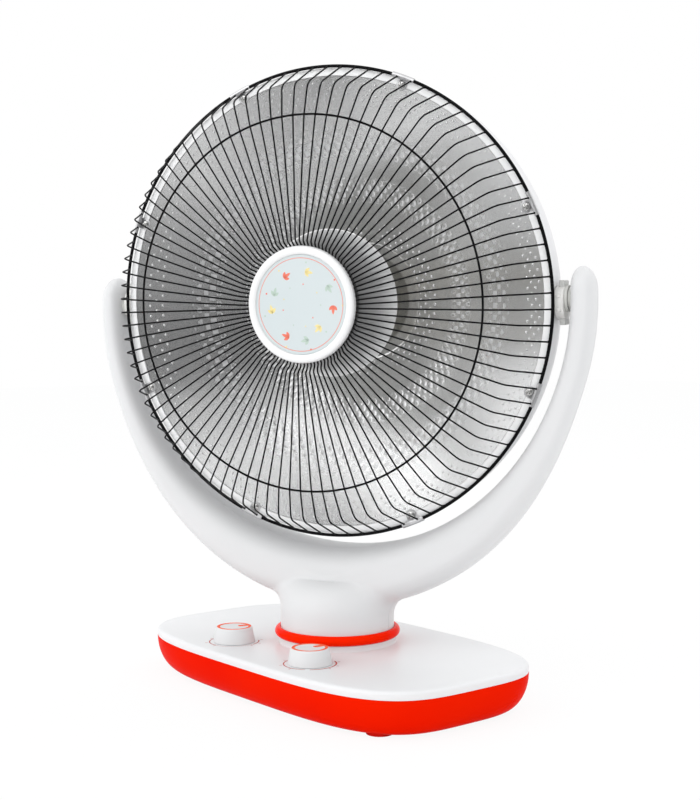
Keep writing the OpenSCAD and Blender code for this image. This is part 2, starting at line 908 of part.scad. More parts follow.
module rear_housing() color(white) on_dish() difference() {
    union() {
        rotate_extrude()
            polygon([
                [bowl_rim_r + 0.2, rim_face_s],
                [housing_r, rim_face_s],
                for (k = [0 : dome_steps])
                    let (a = 90 * k / dome_steps) [dome_r(a), dome_s(a)],
                [holder_r + 0.2, housing_depth],
                [holder_r + 0.2, housing_inner_s],
                for (k = [dome_steps : -1 : 0])
                    let (a = 90 * k / dome_steps)
                        [dome_r(a) - housing_wall * cos(a), dome_s(a) - housing_wall * sin(a)],
                [housing_r - housing_wall, bowl_rim_s + sheet_t + rim_step_t],
                [bowl_r + 1, bowl_rim_s + sheet_t + rim_step_t],
                [bowl_r + 1, bowl_rim_s + sheet_t],
                [bowl_rim_r + 0.2, bowl_rim_s + sheet_t]]);
        for (side = [1, -1])
            translate([0, 0, ring_ahead])
                rotate([0, side * 90, 0])
                    translate([0, 0, pivot_hub_in])
                        cylinder(r = pivot_hub_r, h = housing_r - pivot_hub_in);
        for (k = [0 : clip_count - 1])
            rotate([0, 0, 360 / clip_count * (k + 0.5)])
                translate([clip_screw_orbit, 0, bowl_rim_s + sheet_t + eps])
                    cylinder(r = 3, h = 9);
    }
    for (side = [1, -1])
        translate([0, 0, ring_ahead])
            rotate([0, side * 90, 0])
                cylinder(r = pivot_bolt_r + 0.1, h = housing_r + 5);
    for (k = [0 : clip_count - 1])
        rotate([0, 0, 360 / clip_count * (k + 0.5)])
            translate([clip_screw_orbit, 0, 0])
                cylinder(r = clip_screw_r, h = 12);
    for (k = [0 : vent_count - 1])
        rotate([0, 0, 360 / vent_count * (k + 0.5)])
            translate([housing_r - vent_outer_inset - vent_length, -vent_w / 2, dome_start_s + 44])
                cube([vent_length, vent_w, housing_depth]);
    for (k = [0 : 3])
        rotate([0, 0, 90 * k + 45])
            translate([back_cover_r - 7, 0, housing_inner_s - 1])
                cylinder(r = 1.6, h = 10);
}

module housing_back_cover() color(white) on_dish() translate([0, 0, housing_depth])
    difference() {
        rotate_extrude()
            polygon([[0, back_cover_h - 2.4], [back_cover_r - 8, back_cover_h - 2.4],
                [back_cover_r - 2.4, back_cover_h - 8], [back_cover_r - 2.4, 0], [back_cover_r, 0],
                [back_cover_r, back_cover_h - 7], [back_cover_r - 7, back_cover_h], [0, back_cover_h]]);
        for (x = [-24 : 8 : 24])
            translate([x - 1.5, -22, back_cover_h - 4])
                cube([3, 44, 6]);
    }

module back_cover_screws() color(steel) on_dish()
    for (k = [0 : 3])
        rotate([0, 0, 90 * k + 45])
            translate([back_cover_r - 7, 0, housing_inner_s - 4])
                cylinder(r = 1.6, h = 10);

module rear_lamp_holder() color(ceramic) on_dish() difference() {
    union() {
        translate([0, 0, holder_front_s])
            cylinder(r = holder_r, h = housing_depth - holder_front_s);
        translate([0, 0, housing_depth - housing_wall - 4])
            cylinder(r = holder_r + 8, h = 4);
    }
    lamp_places()
        translate([0, 0, holder_front_s - 1])
            cylinder(d = lamp_d + 0.2, h = lamp_socket + 1);
    translate([0, 0, holder_front_s - 1])
        cylinder(r = hood_rod_r, h = 60);
}

module lamp_places() {
    for (k = [0 : lamp_count - 1])
        rotate([0, 0, 360 / lamp_count * k + 90])
            translate([lamp_orbit, 0, 0])
                children();
}

module front_lamp_holder() color(ceramic) on_dish() difference() {
    translate([0, 0, hood_back_s + hood_wall])
        cylinder(r = front_holder_r, h = front_holder_t);
    lamp_places()
        translate([0, 0, hood_back_s + hood_wall + front_holder_t - lamp_socket])
            cylinder(d = lamp_d + 0.2, h = lamp_socket + 1);
    translate([0, 0, hood_back_s - 1])
        cylinder(r = hood_rod_r, h = 60);
}

module halogen_tubes() color("#f0e6d2") on_dish() lamp_places() {
    front_s = hood_back_s + hood_wall + front_holder_t - lamp_socket;
    translate([0, 0, front_s])
        cylinder(d = lamp_d, h = holder_front_s + lamp_socket - front_s);
}

module hood_rod() color(steel) on_dish()
    translate([0, 0, hood_back_s - 3])
        cylinder(r = hood_rod_r, h = housing_depth - hood_back_s + 3);

module hood_nut() color(steel) on_dish() translate([0, 0, hood_back_s - 2.6])
    difference() {
        cylinder(r = 5.8, h = 2.6, $fn = 6);
        translate([0, 0, -1])
            cylinder(r = hood_rod_r, h = 5);
    }

module emitter_hood() color(steel) on_dish() rotate_extrude()
    polygon([
        [hood_rod_r, hood_back_s], [hood_neck_r - 4, hood_back_s],
        for (k = [0 : 6])
            let (t = k / 6)
                [hood_neck_r + (hood_r - hood_neck_r) * pow(t, 1.15),
                 hood_back_s + 4 + (hood_edge_s - hood_back_s - 4) * t],
        for (k = [6 : -1 : 0])
            let (t = k / 6)
                [hood_neck_r + (hood_r - hood_neck_r) * pow(t, 1.15) - hood_wall,
                 hood_back_s + 4 + (hood_edge_s - hood_back_s - 4) * t],
        [hood_neck_r - 4 - hood_wall, hood_back_s + hood_wall],
        [hood_rod_r, hood_back_s + hood_wall]]);

module thermal_cutout() color(black) on_dish() translate([36, 0, housing_depth])
    cylinder(r = 8, h = 7);

// Guard

module guard_outer_ring() color(black) on_dish()
    ring_of_wire(ring_r, ring_wire);

module guard_middle_ring() color(black) on_dish() translate([0, 0, -mid_ahead])
    ring_of_wire(mid_ring_r, small_ring_wire);

module guard_inner_ring() color(black) on_dish() translate([0, 0, inner_ring_s])
    ring_of_wire(inner_ring_r, small_ring_wire);

// Path of one radial wire as [radius, depth] points, bent to an arc at the knee
function wire_end() =
    let (run = [ring_r - knee_r, knee_ahead], gap = ring_wire / 2 + weld_gap)
        [ring_r, 0] - run / norm(run) * gap;
function heading(a, b) = atan2(b[1] - a[1], b[0] - a[0]);
// Points on an arc of radius r that rounds the corner a, b, c
function rounded_corner(a, b, c, r, steps) =
    let (
        h = heading(a, b),
        turn = heading(b, c) - h,
        start = b - r * tan(abs(turn) / 2) * [cos(h), sin(h)],
        centre = start + sign(turn) * r * [-sin(h), cos(h)])
    [for (k = [0 : steps])
        let (a1 = h + turn * k / steps)
            centre + sign(turn) * r * [sin(a1), -cos(a1)]];
mid_point = [mid_ring_r, mid_wire_s];
knee = rounded_corner(mid_point, [knee_r, -knee_ahead], wire_end(), knee_bend_r, 2);
front_path = [[inner_ring_r + 0.5, inner_wire_s], [step_r, inner_wire_s],
    [step_r + step_w, step_s], mid_point, knee[0]];
return_path = concat([knee[0] + weld_gap * (knee[0] - mid_point) / norm(knee[0] - mid_point)],
    [for (k = [1 : len(knee) - 1]) knee[k]], [wire_end()]);

// Direction across the path at one of its points, lengthened where the path turns
function across(path, i) =
    let (
        last = len(path) - 1,
        h0 = heading(path[max(i - 1, 0)], path[max(i, 1)]),
        h1 = heading(path[min(i, last - 1)], path[min(i + 1, last)]),
        h = (h0 + h1) / 2)
    [-sin(h), cos(h)] / cos((h1 - h0) / 2);

// Corners of one wire's tube along a path, turned round the dish's axis
function wire_corners(path, turn) = [
    for (i = [0 : len(path) - 1])
        let (side = across(path, i))
            for (j = [0 : wire_sides - 1])
                let (
                    a = 360 * (j + 0.5) / wire_sides,
                    r = path[i][0] + wire_d / 2 * cos(a) * side[0],
                    t = wire_d / 2 * sin(a),
                    s = path[i][1] + wire_d / 2 * cos(a) * side[1])
                [r * cos(turn) - t * sin(turn), r * sin(turn) + t * cos(turn), s]];

function wire_faces(rings, first) =
    let (n = wire_sides)
    [[for (j = [0 : n - 1]) first + j],
     [for (j = [0 : n - 1]) first + rings * n - 1 - j],
     for (i = [0 : rings - 2])
        for (j = [0 : n - 1])
            let (a = first + i * n + j, b = first + i * n + (j + 1) % n)
                each [[a, a + n, b + n], [a, b + n, b]]];

// All radial wires' runs along one path
module wire_runs(path)
    polyhedron(
        points = [for (k = [0 : wire_count - 1]) each wire_corners(path, wire_pitch * (k + 0.5))],
        faces = [for (k = [0 : wire_count - 1])
            each wire_faces(len(path), k * wire_sides * len(path))]);

module guard_wires() color(black) on_dish() wire_runs(front_path);

module guard_wire_returns() color(black) on_dish() wire_runs(return_path);

module guard_cap() color(white) on_dish() translate([0, 0, -cap_ahead]) difference() {
    rotate_extrude()
        polygon([[0, disc_sink + 1.2], [disc_d / 2 + 0.1, disc_sink + 1.2], [disc_d / 2 + 0.1, 1],
            [disc_d / 2 + 1.2, 0.2], [disc_d / 2 + 2.4, 0], [cap_d / 2 - 2, 0.5],
            [cap_d / 2 - 0.6, 1.6], [cap_d / 2, 3.4], [cap_d / 2, cap_body_t],
            [inner_ring_r - 5, cap_body_t], [inner_ring_r - 7, cap_body_t - 1.2],
            [0, cap_body_t - 1.2]]);
    cap_screw_places()
        translate([0, 0, cap_body_t - cap_screw_bite])
            cylinder(r = cap_screw_r, h = 2 * cap_screw_bite);
}

module cap_screw_places() {
    for (k = [0 : 2])
        rotate([0, 0, 120 * k])
            translate([cap_screw_orbit, 0, 0])
                children();
}

module cap_disc() color("#dbe5e6") on_dish() translate([0, 0, -cap_ahead + disc_sink])
    cylinder(d = disc_d, h = 1.2);

module cap_clamp_plate() color(black) on_dish() translate([0, 0, clamp_s]) difference() {
    union() {
        cylinder(r = inner_ring_r + 3, h = clamp_t);
        translate([0, 0, cap_back_s - 1.2 - clamp_s])
            cylinder(r = inner_ring_r - 8, h = clamp_s - cap_back_s + 1.2 + eps);
    }
    cap_screw_places()
        translate([0, 0, -10])
            cylinder(r = cap_screw_r + screw_clearance, h = 20);
    translate([0, 0, cap_back_s - clamp_s - 2])
        cylinder(r = 20, h = 20);
}

module cap_screws() color(steel) on_dish() cap_screw_places() {
    translate([0, 0, cap_back_s - cap_screw_bite])
        cylinder(r = cap_screw_r, h = clamp_s + clamp_t + eps - cap_back_s + cap_screw_bite);
    translate([0, 0, clamp_s + clamp_t])
        cylinder(r = 3, h = 1.8);
}

// Strap that hooks over the outer ring between two radial wires
module guard_clips() color(steel) on_dish()
    for (k = [0 : clip_count - 1])
        rotate([0, 0, 360 / clip_count * (k + 0.5)])
            difference() {
                rotate([0, 0, -clip_width_deg / 2])
                    rotate_extrude(angle = clip_width_deg)
                        clip_profile();
                translate([clip_screw_orbit, 0, -5])
                    cylinder(r = clip_screw_r + running_gap, h = 10);
            }

module clip_profile() {
    inner = ring_wire / 2 + clip_gap;
    outer = inner + clip_t;
    tab_r = clip_screw_orbit - clip_screw_head_r - 0.4;
    polygon([
        [tab_r, rim_face_s - clip_t], [ring_r - outer, rim_face_s - clip_t],
        for (a = [180 : 30 : 360]) [ring_r + outer * cos(a), outer * sin(a)],
        for (a = [360 : -30 : 180]) [ring_r + inner / cos(15) * cos(a), inner / cos(15) * sin(a)],
        [ring_r - inner, rim_face_s], [tab_r, rim_face_s]]);
}

module clip_screws() color(steel) on_dish()
    for (k = [0 : clip_count - 1])
        rotate([0, 0, 360 / clip_count * (k + 0.5)])
            translate([clip_screw_orbit, 0, rim_face_s - clip_t]) {
                translate([0, 0, -clip_screw_head_h])
                    cylinder(r = clip_screw_head_r, h = clip_screw_head_h);
                translate([0, 0, -eps])
                    cylinder(r = clip_screw_r, h = 10);
            }

// Tilt joint pieces that ride with the head

module pivot_plates() color(white) in_head() both_pivots() difference() {
    union() {
        translate([0, 0, housing_r])
            cylinder(r = pivot_hub_r, h = pivot_disc_in - housing_r + eps);
        translate([0, 0, pivot_disc_in])
            cylinder(r = pivot_plate_r, h = pivot_plate_out - pivot_disc_in);
    }
    cylinder(r = pivot_bolt_r, h = 2 * housing_r);
}

module friction_washers() color(ceramic) in_head() both_pivots()
    translate([0, 0, pivot_plate_out])
        tube(friction_r, pivot_bolt_r, friction_out - pivot_plate_out);

module pivot_bolts() color(steel) in_head() both_pivots() {
    translate([0, 0, pivot_hub_in - pivot_head_h])
        cylinder(r = pivot_head_r, h = pivot_head_h);
    translate([0, 0, pivot_hub_in - eps])
        cylinder(r = pivot_bolt_r, h = pivot_bolt_end - pivot_hub_in);
}

base_tray();
base_top_cover();
ballast_plates();
rubber_feet();
base_screws();
swivel_trim_ring();
swivel_bearing();
thrust_washer();
oscillation_motor();
crank_disc();
power_switch();
timer_switch();
terminal_block();
cord_gland();
tip_over_switch();
tip_over_plunger();
power_knob();
power_spindle();
timer_knob();
timer_spindle();
yoke_front_shell();
yoke_rear_shell();
yoke_screws();
swivel_post();
post_retaining_ring();
drive_lever();
tilt_bushes();
rear_housing();
housing_back_cover();
back_cover_screws();
reflector();
reflector_middle();
reflector_centre();
rear_lamp_holder();
front_lamp_holder();
halogen_tubes();
hood_rod();
hood_nut();
emitter_hood();
thermal_cutout();
guard_outer_ring();
guard_middle_ring();
guard_inner_ring();
guard_wires();
guard_wire_returns();
guard_cap();
cap_disc();
cap_clamp_plate();
cap_screws();
guard_clips();
clip_screws();
pivot_plates();
pivot_bolts();
friction_washers();
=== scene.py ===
import math

import bmesh
import bpy
import numpy as np
from mathutils import Matrix, Vector


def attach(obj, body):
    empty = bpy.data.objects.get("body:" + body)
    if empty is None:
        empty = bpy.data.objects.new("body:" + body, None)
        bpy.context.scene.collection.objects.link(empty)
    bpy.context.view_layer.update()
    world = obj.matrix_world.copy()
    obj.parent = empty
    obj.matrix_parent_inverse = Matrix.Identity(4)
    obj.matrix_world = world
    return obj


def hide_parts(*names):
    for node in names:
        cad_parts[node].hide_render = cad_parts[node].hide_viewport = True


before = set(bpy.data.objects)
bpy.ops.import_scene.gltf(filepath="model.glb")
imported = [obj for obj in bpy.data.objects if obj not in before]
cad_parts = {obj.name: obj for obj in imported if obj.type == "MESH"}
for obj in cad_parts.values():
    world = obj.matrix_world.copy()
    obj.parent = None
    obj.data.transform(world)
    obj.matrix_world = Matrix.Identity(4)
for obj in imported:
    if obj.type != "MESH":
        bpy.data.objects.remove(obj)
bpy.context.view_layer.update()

# Frames of the part, with local lengths in millimetres

MM = 0.001


def turned(axis, degrees):
    return Matrix.Rotation(math.radians(degrees), 4, axis)


def moved(x, y, z):
    return Matrix.Translation((x, y, z))


SWIVEL_BACK = 6.4
PIVOT_AHEAD = 5
PIVOT_H = 333
RING_AHEAD = 17.7
REST_SWING = 26.4
REST_TILT = 3

BASE = Matrix.Scale(MM, 4)
SWIVEL = BASE @ moved(0, SWIVEL_BACK, 0)
YOKE = SWIVEL @ turned("Z", REST_SWING)
TILT = YOKE @ moved(0, -PIVOT_AHEAD, PIVOT_H)
HEAD = TILT @ turned("X", REST_TILT)
DISH = HEAD @ moved(0, -RING_AHEAD, 0) @ turned("X", -90)


# Materials

class Look:
    """A procedural material, built up node by node."""

    def __init__(self, name):
        self.material = bpy.data.materials.new(name)
        self.material.use_nodes = True
        self.nodes = self.material.node_tree.nodes
        self.links = self.material.node_tree.links
        self.shader = self.nodes["Principled BSDF"]
        self.height = None

    def set(self, **values):
        for key, value in values.items():
            socket = self.shader.inputs[key.replace("_", " ")]
            socket.default_value = (*value, 1.0) if isinstance(value, tuple) else value

    def node(self, kind, **values):
        made = self.nodes.new(kind)
        for key, value in values.items():
            if key in made.inputs:
                made.inputs[key].default_value = value
            else:
                setattr(made, key, value)
        return made

    def place(self, local=False):
        """Where on the piece a point is: its own frame in millimetres, or metres at rest."""
        if local:
            found = self.node("ShaderNodeAttribute", attribute_name="spot")
            return found.outputs["Vector"]
        return self.node("ShaderNodeTexCoord").outputs["Object"]

    def stretch(self, source, scale):
        mapping = self.node("ShaderNodeMapping", Scale=scale)
        self.links.new(source, mapping.inputs["Vector"])
        return mapping.outputs["Vector"]

    def noise(self, scale, detail=3.0, rough=0.5, source=None):
        texture = self.node("ShaderNodeTexNoise", Scale=scale, Detail=detail, Roughness=rough)
        self.links.new(source if source is not None else self.place(), texture.inputs["Vector"])
        return texture.outputs["Fac"]

    def roughness(self, value, low, high):
        """Carries a value that varies over the surface into a range of roughness."""
        ends = {"From Min": 0.3, "From Max": 0.7, "To Min": low, "To Max": high}
        ranged = self.node("ShaderNodeMapRange", **ends)
        self.links.new(value, ranged.inputs["Value"])
        self.links.new(ranged.outputs["Result"], self.shader.inputs["Roughness"])

    def colour(self, value, *stops):
        ramp = self.node("ShaderNodeValToRGB")
        while len(ramp.color_ramp.elements) < len(stops):
            ramp.color_ramp.elements.new(0.5)
        for element, (place, colour) in zip(ramp.color_ramp.elements, stops):
            element.position = place
            element.color = (*colour, 1.0)
        self.links.new(value, ramp.inputs["Fac"])
        self.links.new(ramp.outputs["Color"], self.shader.inputs["Base Color"])

    def bump(self, value, distance, strength=1.0):
        made = self.node("ShaderNodeBump", Strength=strength, Distance=distance)
        self.links.new(value, made.inputs["Height"])
        if self.height is not None:
            self.links.new(self.height, made.inputs["Normal"])
        self.height = made.outputs["Normal"]
        self.links.new(self.height, self.shader.inputs["Normal"])

    def bevel(self, radius):
        """Softens the look of hard edges; it comes before any bump."""
        made = self.node("ShaderNodeBevel", Radius=radius)
        made.samples = 6
        self.height = made.outputs["Normal"]
        self.links.new(self.height, self.shader.inputs["Normal"])


def plastic(name, dark, light, rough_low, rough_high, grain=0.00002, bevel=None, **more):
    look = Look(name)
    look.set(**more)
    if bevel:
        look.bevel(bevel)
    look.colour(look.noise(9.0, 2.0), (0.25, dark), (0.75, light))
    look.roughness(look.noise(22.0, 2.0, 0.4), rough_low, rough_high)
    look.bump(look.noise(1600.0, 1.0), grain)
    return look


def metal(name, dark, light, rough_low, rough_high, grain=0.00002, scale=700.0, bevel=None, **more):
    look = Look(name)
    look.set(Metallic=1.0, **more)
    if bevel:
        look.bevel(bevel)
    look.colour(look.noise(60.0, 4.0, 0.6), (0.3, dark), (0.7, light))
    look.roughness(look.noise(250.0, 5.0, 0.65), rough_low, rough_high)
    look.bump(look.noise(scale, 3.0), grain)
    return look


WHITE = plastic("gloss_white_abs", (0.71, 0.711, 0.715), (0.73, 0.731, 0.735), 0.3, 0.35,
                0.000002, Specular_IOR_Level=0.3, IOR=1.3)
COVER_WHITE = plastic("satin_white_abs", (0.765, 0.767, 0.775), (0.78, 0.783, 0.79), 0.3, 0.36,
                      0.000002, Specular_IOR_Level=0.4)
ENAMEL = plastic("white_enamel", (0.745, 0.745, 0.755), (0.765, 0.765, 0.773), 0.3, 0.38, 0.000006,
                 bevel=0.0006)
# A lighter copy of the housing's white enamel, used on its lip: painted light where the lip faces
# the lamps.
LIT_LIP_WHITE = plastic("lip_enamel_painted_light", (0.965, 0.965, 0.965), (0.98, 0.98, 0.98), 0.3, 0.38, 0.000004)
CAP_WHITE = plastic("cap_white", (0.82, 0.82, 0.82), (0.835, 0.835, 0.835), 0.27, 0.32, 0.000002)
RED = plastic("orange_red_abs", (0.77, 0.007, 0.0), (0.82, 0.012, 0.0), 0.34, 0.4, 0.000003,
              Specular_IOR_Level=0.04, IOR=1.15)
RING_RED = plastic("glossy_orange_red", (0.95, 0.011, 0.0), (0.97, 0.018, 0.0), 0.1, 0.14,
                   0.000002, Specular_IOR_Level=0.1, IOR=1.2)
PRINT_RED = plastic("printed_orange", (0.88, 0.075, 0.004), (0.92, 0.10, 0.008), 0.4, 0.46,
                    Specular_IOR_Level=0.1)
SCALE_RED = plastic("printed_scale_red", (0.42, 0.045, 0.032), (0.5, 0.065, 0.045), 0.4, 0.46,
                    Specular_IOR_Level=0.2)
BLACK = plastic("black_powder_coat", (0.003, 0.003, 0.0033), (0.006, 0.006, 0.007), 0.4, 0.5,
                0.00001, Specular_IOR_Level=0.07)
SHADE_BLACK = plastic("black_plate", (0.006, 0.006, 0.006), (0.016, 0.016, 0.017), 0.4, 0.6,
                      0.00004, bevel=0.0003)
RUBBER = plastic("red_foot_rubber", (0.62, 0.006, 0.001), (0.70, 0.009, 0.002), 0.6, 0.75,
                 0.00003, bevel=0.0006, Specular_IOR_Level=0.1)
INNER_PLASTIC = plastic("inner_plastic", (0.60, 0.60, 0.57), (0.70, 0.70, 0.67), 0.4, 0.55,
                        0.00003, bevel=0.0004)
PIVOT_PLASTIC = plastic("pivot_plastic", (0.76, 0.75, 0.725), (0.80, 0.79, 0.765), 0.34, 0.42,
                        0.000004)
PIVOT_GREY = plastic("pivot_grey", (0.60, 0.60, 0.58), (0.66, 0.66, 0.64), 0.36, 0.44, 0.000004)
SWITCH_BLACK = plastic("switch_black", (0.012, 0.012, 0.013), (0.03, 0.03, 0.031), 0.35, 0.5,
                       0.00003, bevel=0.0004)
CERAMIC = plastic("steatite", (0.64, 0.60, 0.52), (0.76, 0.73, 0.66), 0.45, 0.65, 0.00006,
                  bevel=0.0004)
STEEL = metal("zinc_plated_steel", (0.52, 0.53, 0.54), (0.68, 0.69, 0.70), 0.22, 0.38,
              bevel=0.0002)
SCREW = metal("nickel_screw", (0.60, 0.60, 0.59), (0.74, 0.74, 0.73), 0.14, 0.28, 0.00001)
CLIP_STEEL = metal("nickel_clip", (0.55, 0.55, 0.56), (0.72, 0.72, 0.73), 0.24, 0.4, 0.00003)
BRASS = metal("brass", (0.62, 0.44, 0.18), (0.76, 0.56, 0.26), 0.2, 0.36, bevel=0.0002)
BALLAST = metal("ballast_steel", (0.10, 0.10, 0.105), (0.20, 0.19, 0.18), 0.5, 0.75, 0.0001,
                120.0, bevel=0.0004)


def bowl_metal():
    """Satin aluminium, a little cloudy, with painted shade round the lamp holder."""
    look = Look("bright_aluminium")
    look.set(Metallic=0.9)
    local = look.place(local=True)
    reach = look.node("ShaderNodeVectorMath", operation="LENGTH")
    look.links.new(look.stretch(local, (0.005, 0.005, 0.0)), reach.inputs[0])
    tint = look.node("ShaderNodeMath", operation="MULTIPLY_ADD")
    look.links.new(look.noise(0.012, 2.0, 0.5, source=local), tint.inputs[0])
    tint.inputs[1].default_value = 0.02
    look.links.new(reach.outputs["Value"], tint.inputs[2])
    # Inside about 60 mm the colour drops to dark grey: painted shade behind the hood, round the lamp
    # holder.
    look.colour(tint.outputs[0], (0.222, (0.30, 0.30, 0.285)), (0.232, (0.62, 0.62, 0.61)),
                (0.26, (0.66, 0.66, 0.655)), (0.30, (0.83, 0.833, 0.835)))
    look.roughness(look.noise(0.03, 2.0, 0.5, source=local), 0.2, 0.26)
    look.bump(look.noise(1.4, 2.0, 0.5, source=local), 0.000002)
    return look


def hood_metal():
    """Spun steel: fine streaks run from the middle outward. Its colour goes from dark near the
    middle to near white at the rim, as painted shade and a painted highlight.
    """
    look = Look("polished_hood_steel")
    look.set(Metallic=0.45)
    spin = look.node("ShaderNodeVectorMath", operation="NORMALIZE")
    flat = look.stretch(look.place(local=True), (0.0125, 0.0125, 0.0))
    look.links.new(flat, spin.inputs[0])
    streaks = look.noise(26.0, 4.0, 0.65, source=spin.outputs["Vector"])
    reach = look.node("ShaderNodeVectorMath", operation="LENGTH")
    look.links.new(flat, reach.inputs[0])
    streaks_and_painted_light = look.node("ShaderNodeMath", operation="MULTIPLY_ADD")
    look.links.new(streaks, streaks_and_painted_light.inputs[0])
    streaks_and_painted_light.inputs[1].default_value = 0.22
    look.links.new(reach.outputs["Value"], streaks_and_painted_light.inputs[2])
    # Dark near the cap is painted shade; near white toward the rim is a painted highlight.
    look.colour(streaks_and_painted_light.outputs[0], (0.68, (0.16, 0.16, 0.16)), (0.8, (0.45, 0.45, 0.45)),
                (0.9, (0.95, 0.95, 0.95)))
    look.roughness(look.noise(60.0, 3.0, 0.6, source=spin.outputs["Vector"]), 0.1, 0.24)
    look.bump(streaks, 0.0006, 0.5)
    return look


def tube_glass():
    """Frosted quartz with a faint warm tint."""
    look = Look("frosted_quartz")
    look.set(Transmission_Weight=0.55, IOR=1.46)
    look.colour(look.noise(500.0, 3.0), (0.3, (0.72, 0.68, 0.60)), (0.7, (0.86, 0.84, 0.79)))
    look.roughness(look.noise(300.0, 3.0), 0.22, 0.4)
    look.bump(look.noise(900.0, 2.0), 0.00003)
    return look


BOWL = bowl_metal()
# Paler and less metallic than the bowl, so the dimples show as light spots even where the bowl
# reflects the dark room: a painted sheen.
DIMPLE = metal("dimple_aluminium_painted_sheen", (0.80, 0.80, 0.81), (0.86, 0.86, 0.87), 0.28, 0.36, 0.000004,
               300.0)
DIMPLE.set(Metallic=0.6)
HOOD = hood_metal()
HOOD_INSIDE = plastic("hood_inner_coat", (0.86, 0.86, 0.85), (0.90, 0.90, 0.89), 0.3, 0.5)
QUARTZ = tube_glass()
DISC_BLUE = plastic("disc_pale_blue", (0.58, 0.64, 0.65), (0.62, 0.675, 0.685), 0.3, 0.42,
                    0.00001)
CORAL = plastic("print_coral", (0.80, 0.16, 0.10), (0.86, 0.24, 0.16), 0.35, 0.5)
YELLOW = plastic("print_pale_yellow", (0.80, 0.66, 0.26), (0.86, 0.74, 0.38), 0.35, 0.5)
SAGE = plastic("print_sage", (0.44, 0.56, 0.48), (0.52, 0.62, 0.55), 0.35, 0.5)


# Shapes

LEAST_CORNER = 12
MOST_OF_SIDE = 0.45


def rounded_corner(before, here, after, radius, steps):
    """The points that take the place of a corner, and the degrees by which it turns."""
    back = before - here
    ahead = after - here
    back_len = np.linalg.norm(back)
    ahead_len = np.linalg.norm(ahead)
    cosine = np.clip(np.dot(back, ahead) / (back_len * ahead_len), -1, 1)
    turn = math.pi - math.acos(cosine)
    reach = min(radius * math.tan(turn / 2), MOST_OF_SIDE * back_len, MOST_OF_SIDE * ahead_len)
    start = here + back / back_len * reach
    end = here + ahead / ahead_len * reach
    arc = []
    for k in range(steps + 1):
        t = k / steps
        arc.append((1 - t) ** 2 * start + 2 * t * (1 - t) * here + t * t * end)
    return arc, math.degrees(turn)


def soften(points, radius, steps=4, closed=False):
    """Rounds the corners of a line of points, apart from those that hardly turn."""
    points = [np.array(p, float) for p in points]
    count = len(points)
    out = []
    for i, here in enumerate(points):
        if not closed and i in (0, count - 1):
            out.append(here)
            continue
        arc, turn = rounded_corner(points[i - 1], here, points[(i + 1) % count], radius, steps)
        out += [here] if turn < LEAST_CORNER else arc
    return out


def placed(points, place):
    matrix = np.array(place)
    return np.array(points) @ matrix[:3, :3].T + matrix[:3, 3]


def linked(name, data):
    """A new object in the scene."""
    made = bpy.data.objects.new(name, data)
    bpy.context.scene.collection.objects.link(made)
    return made


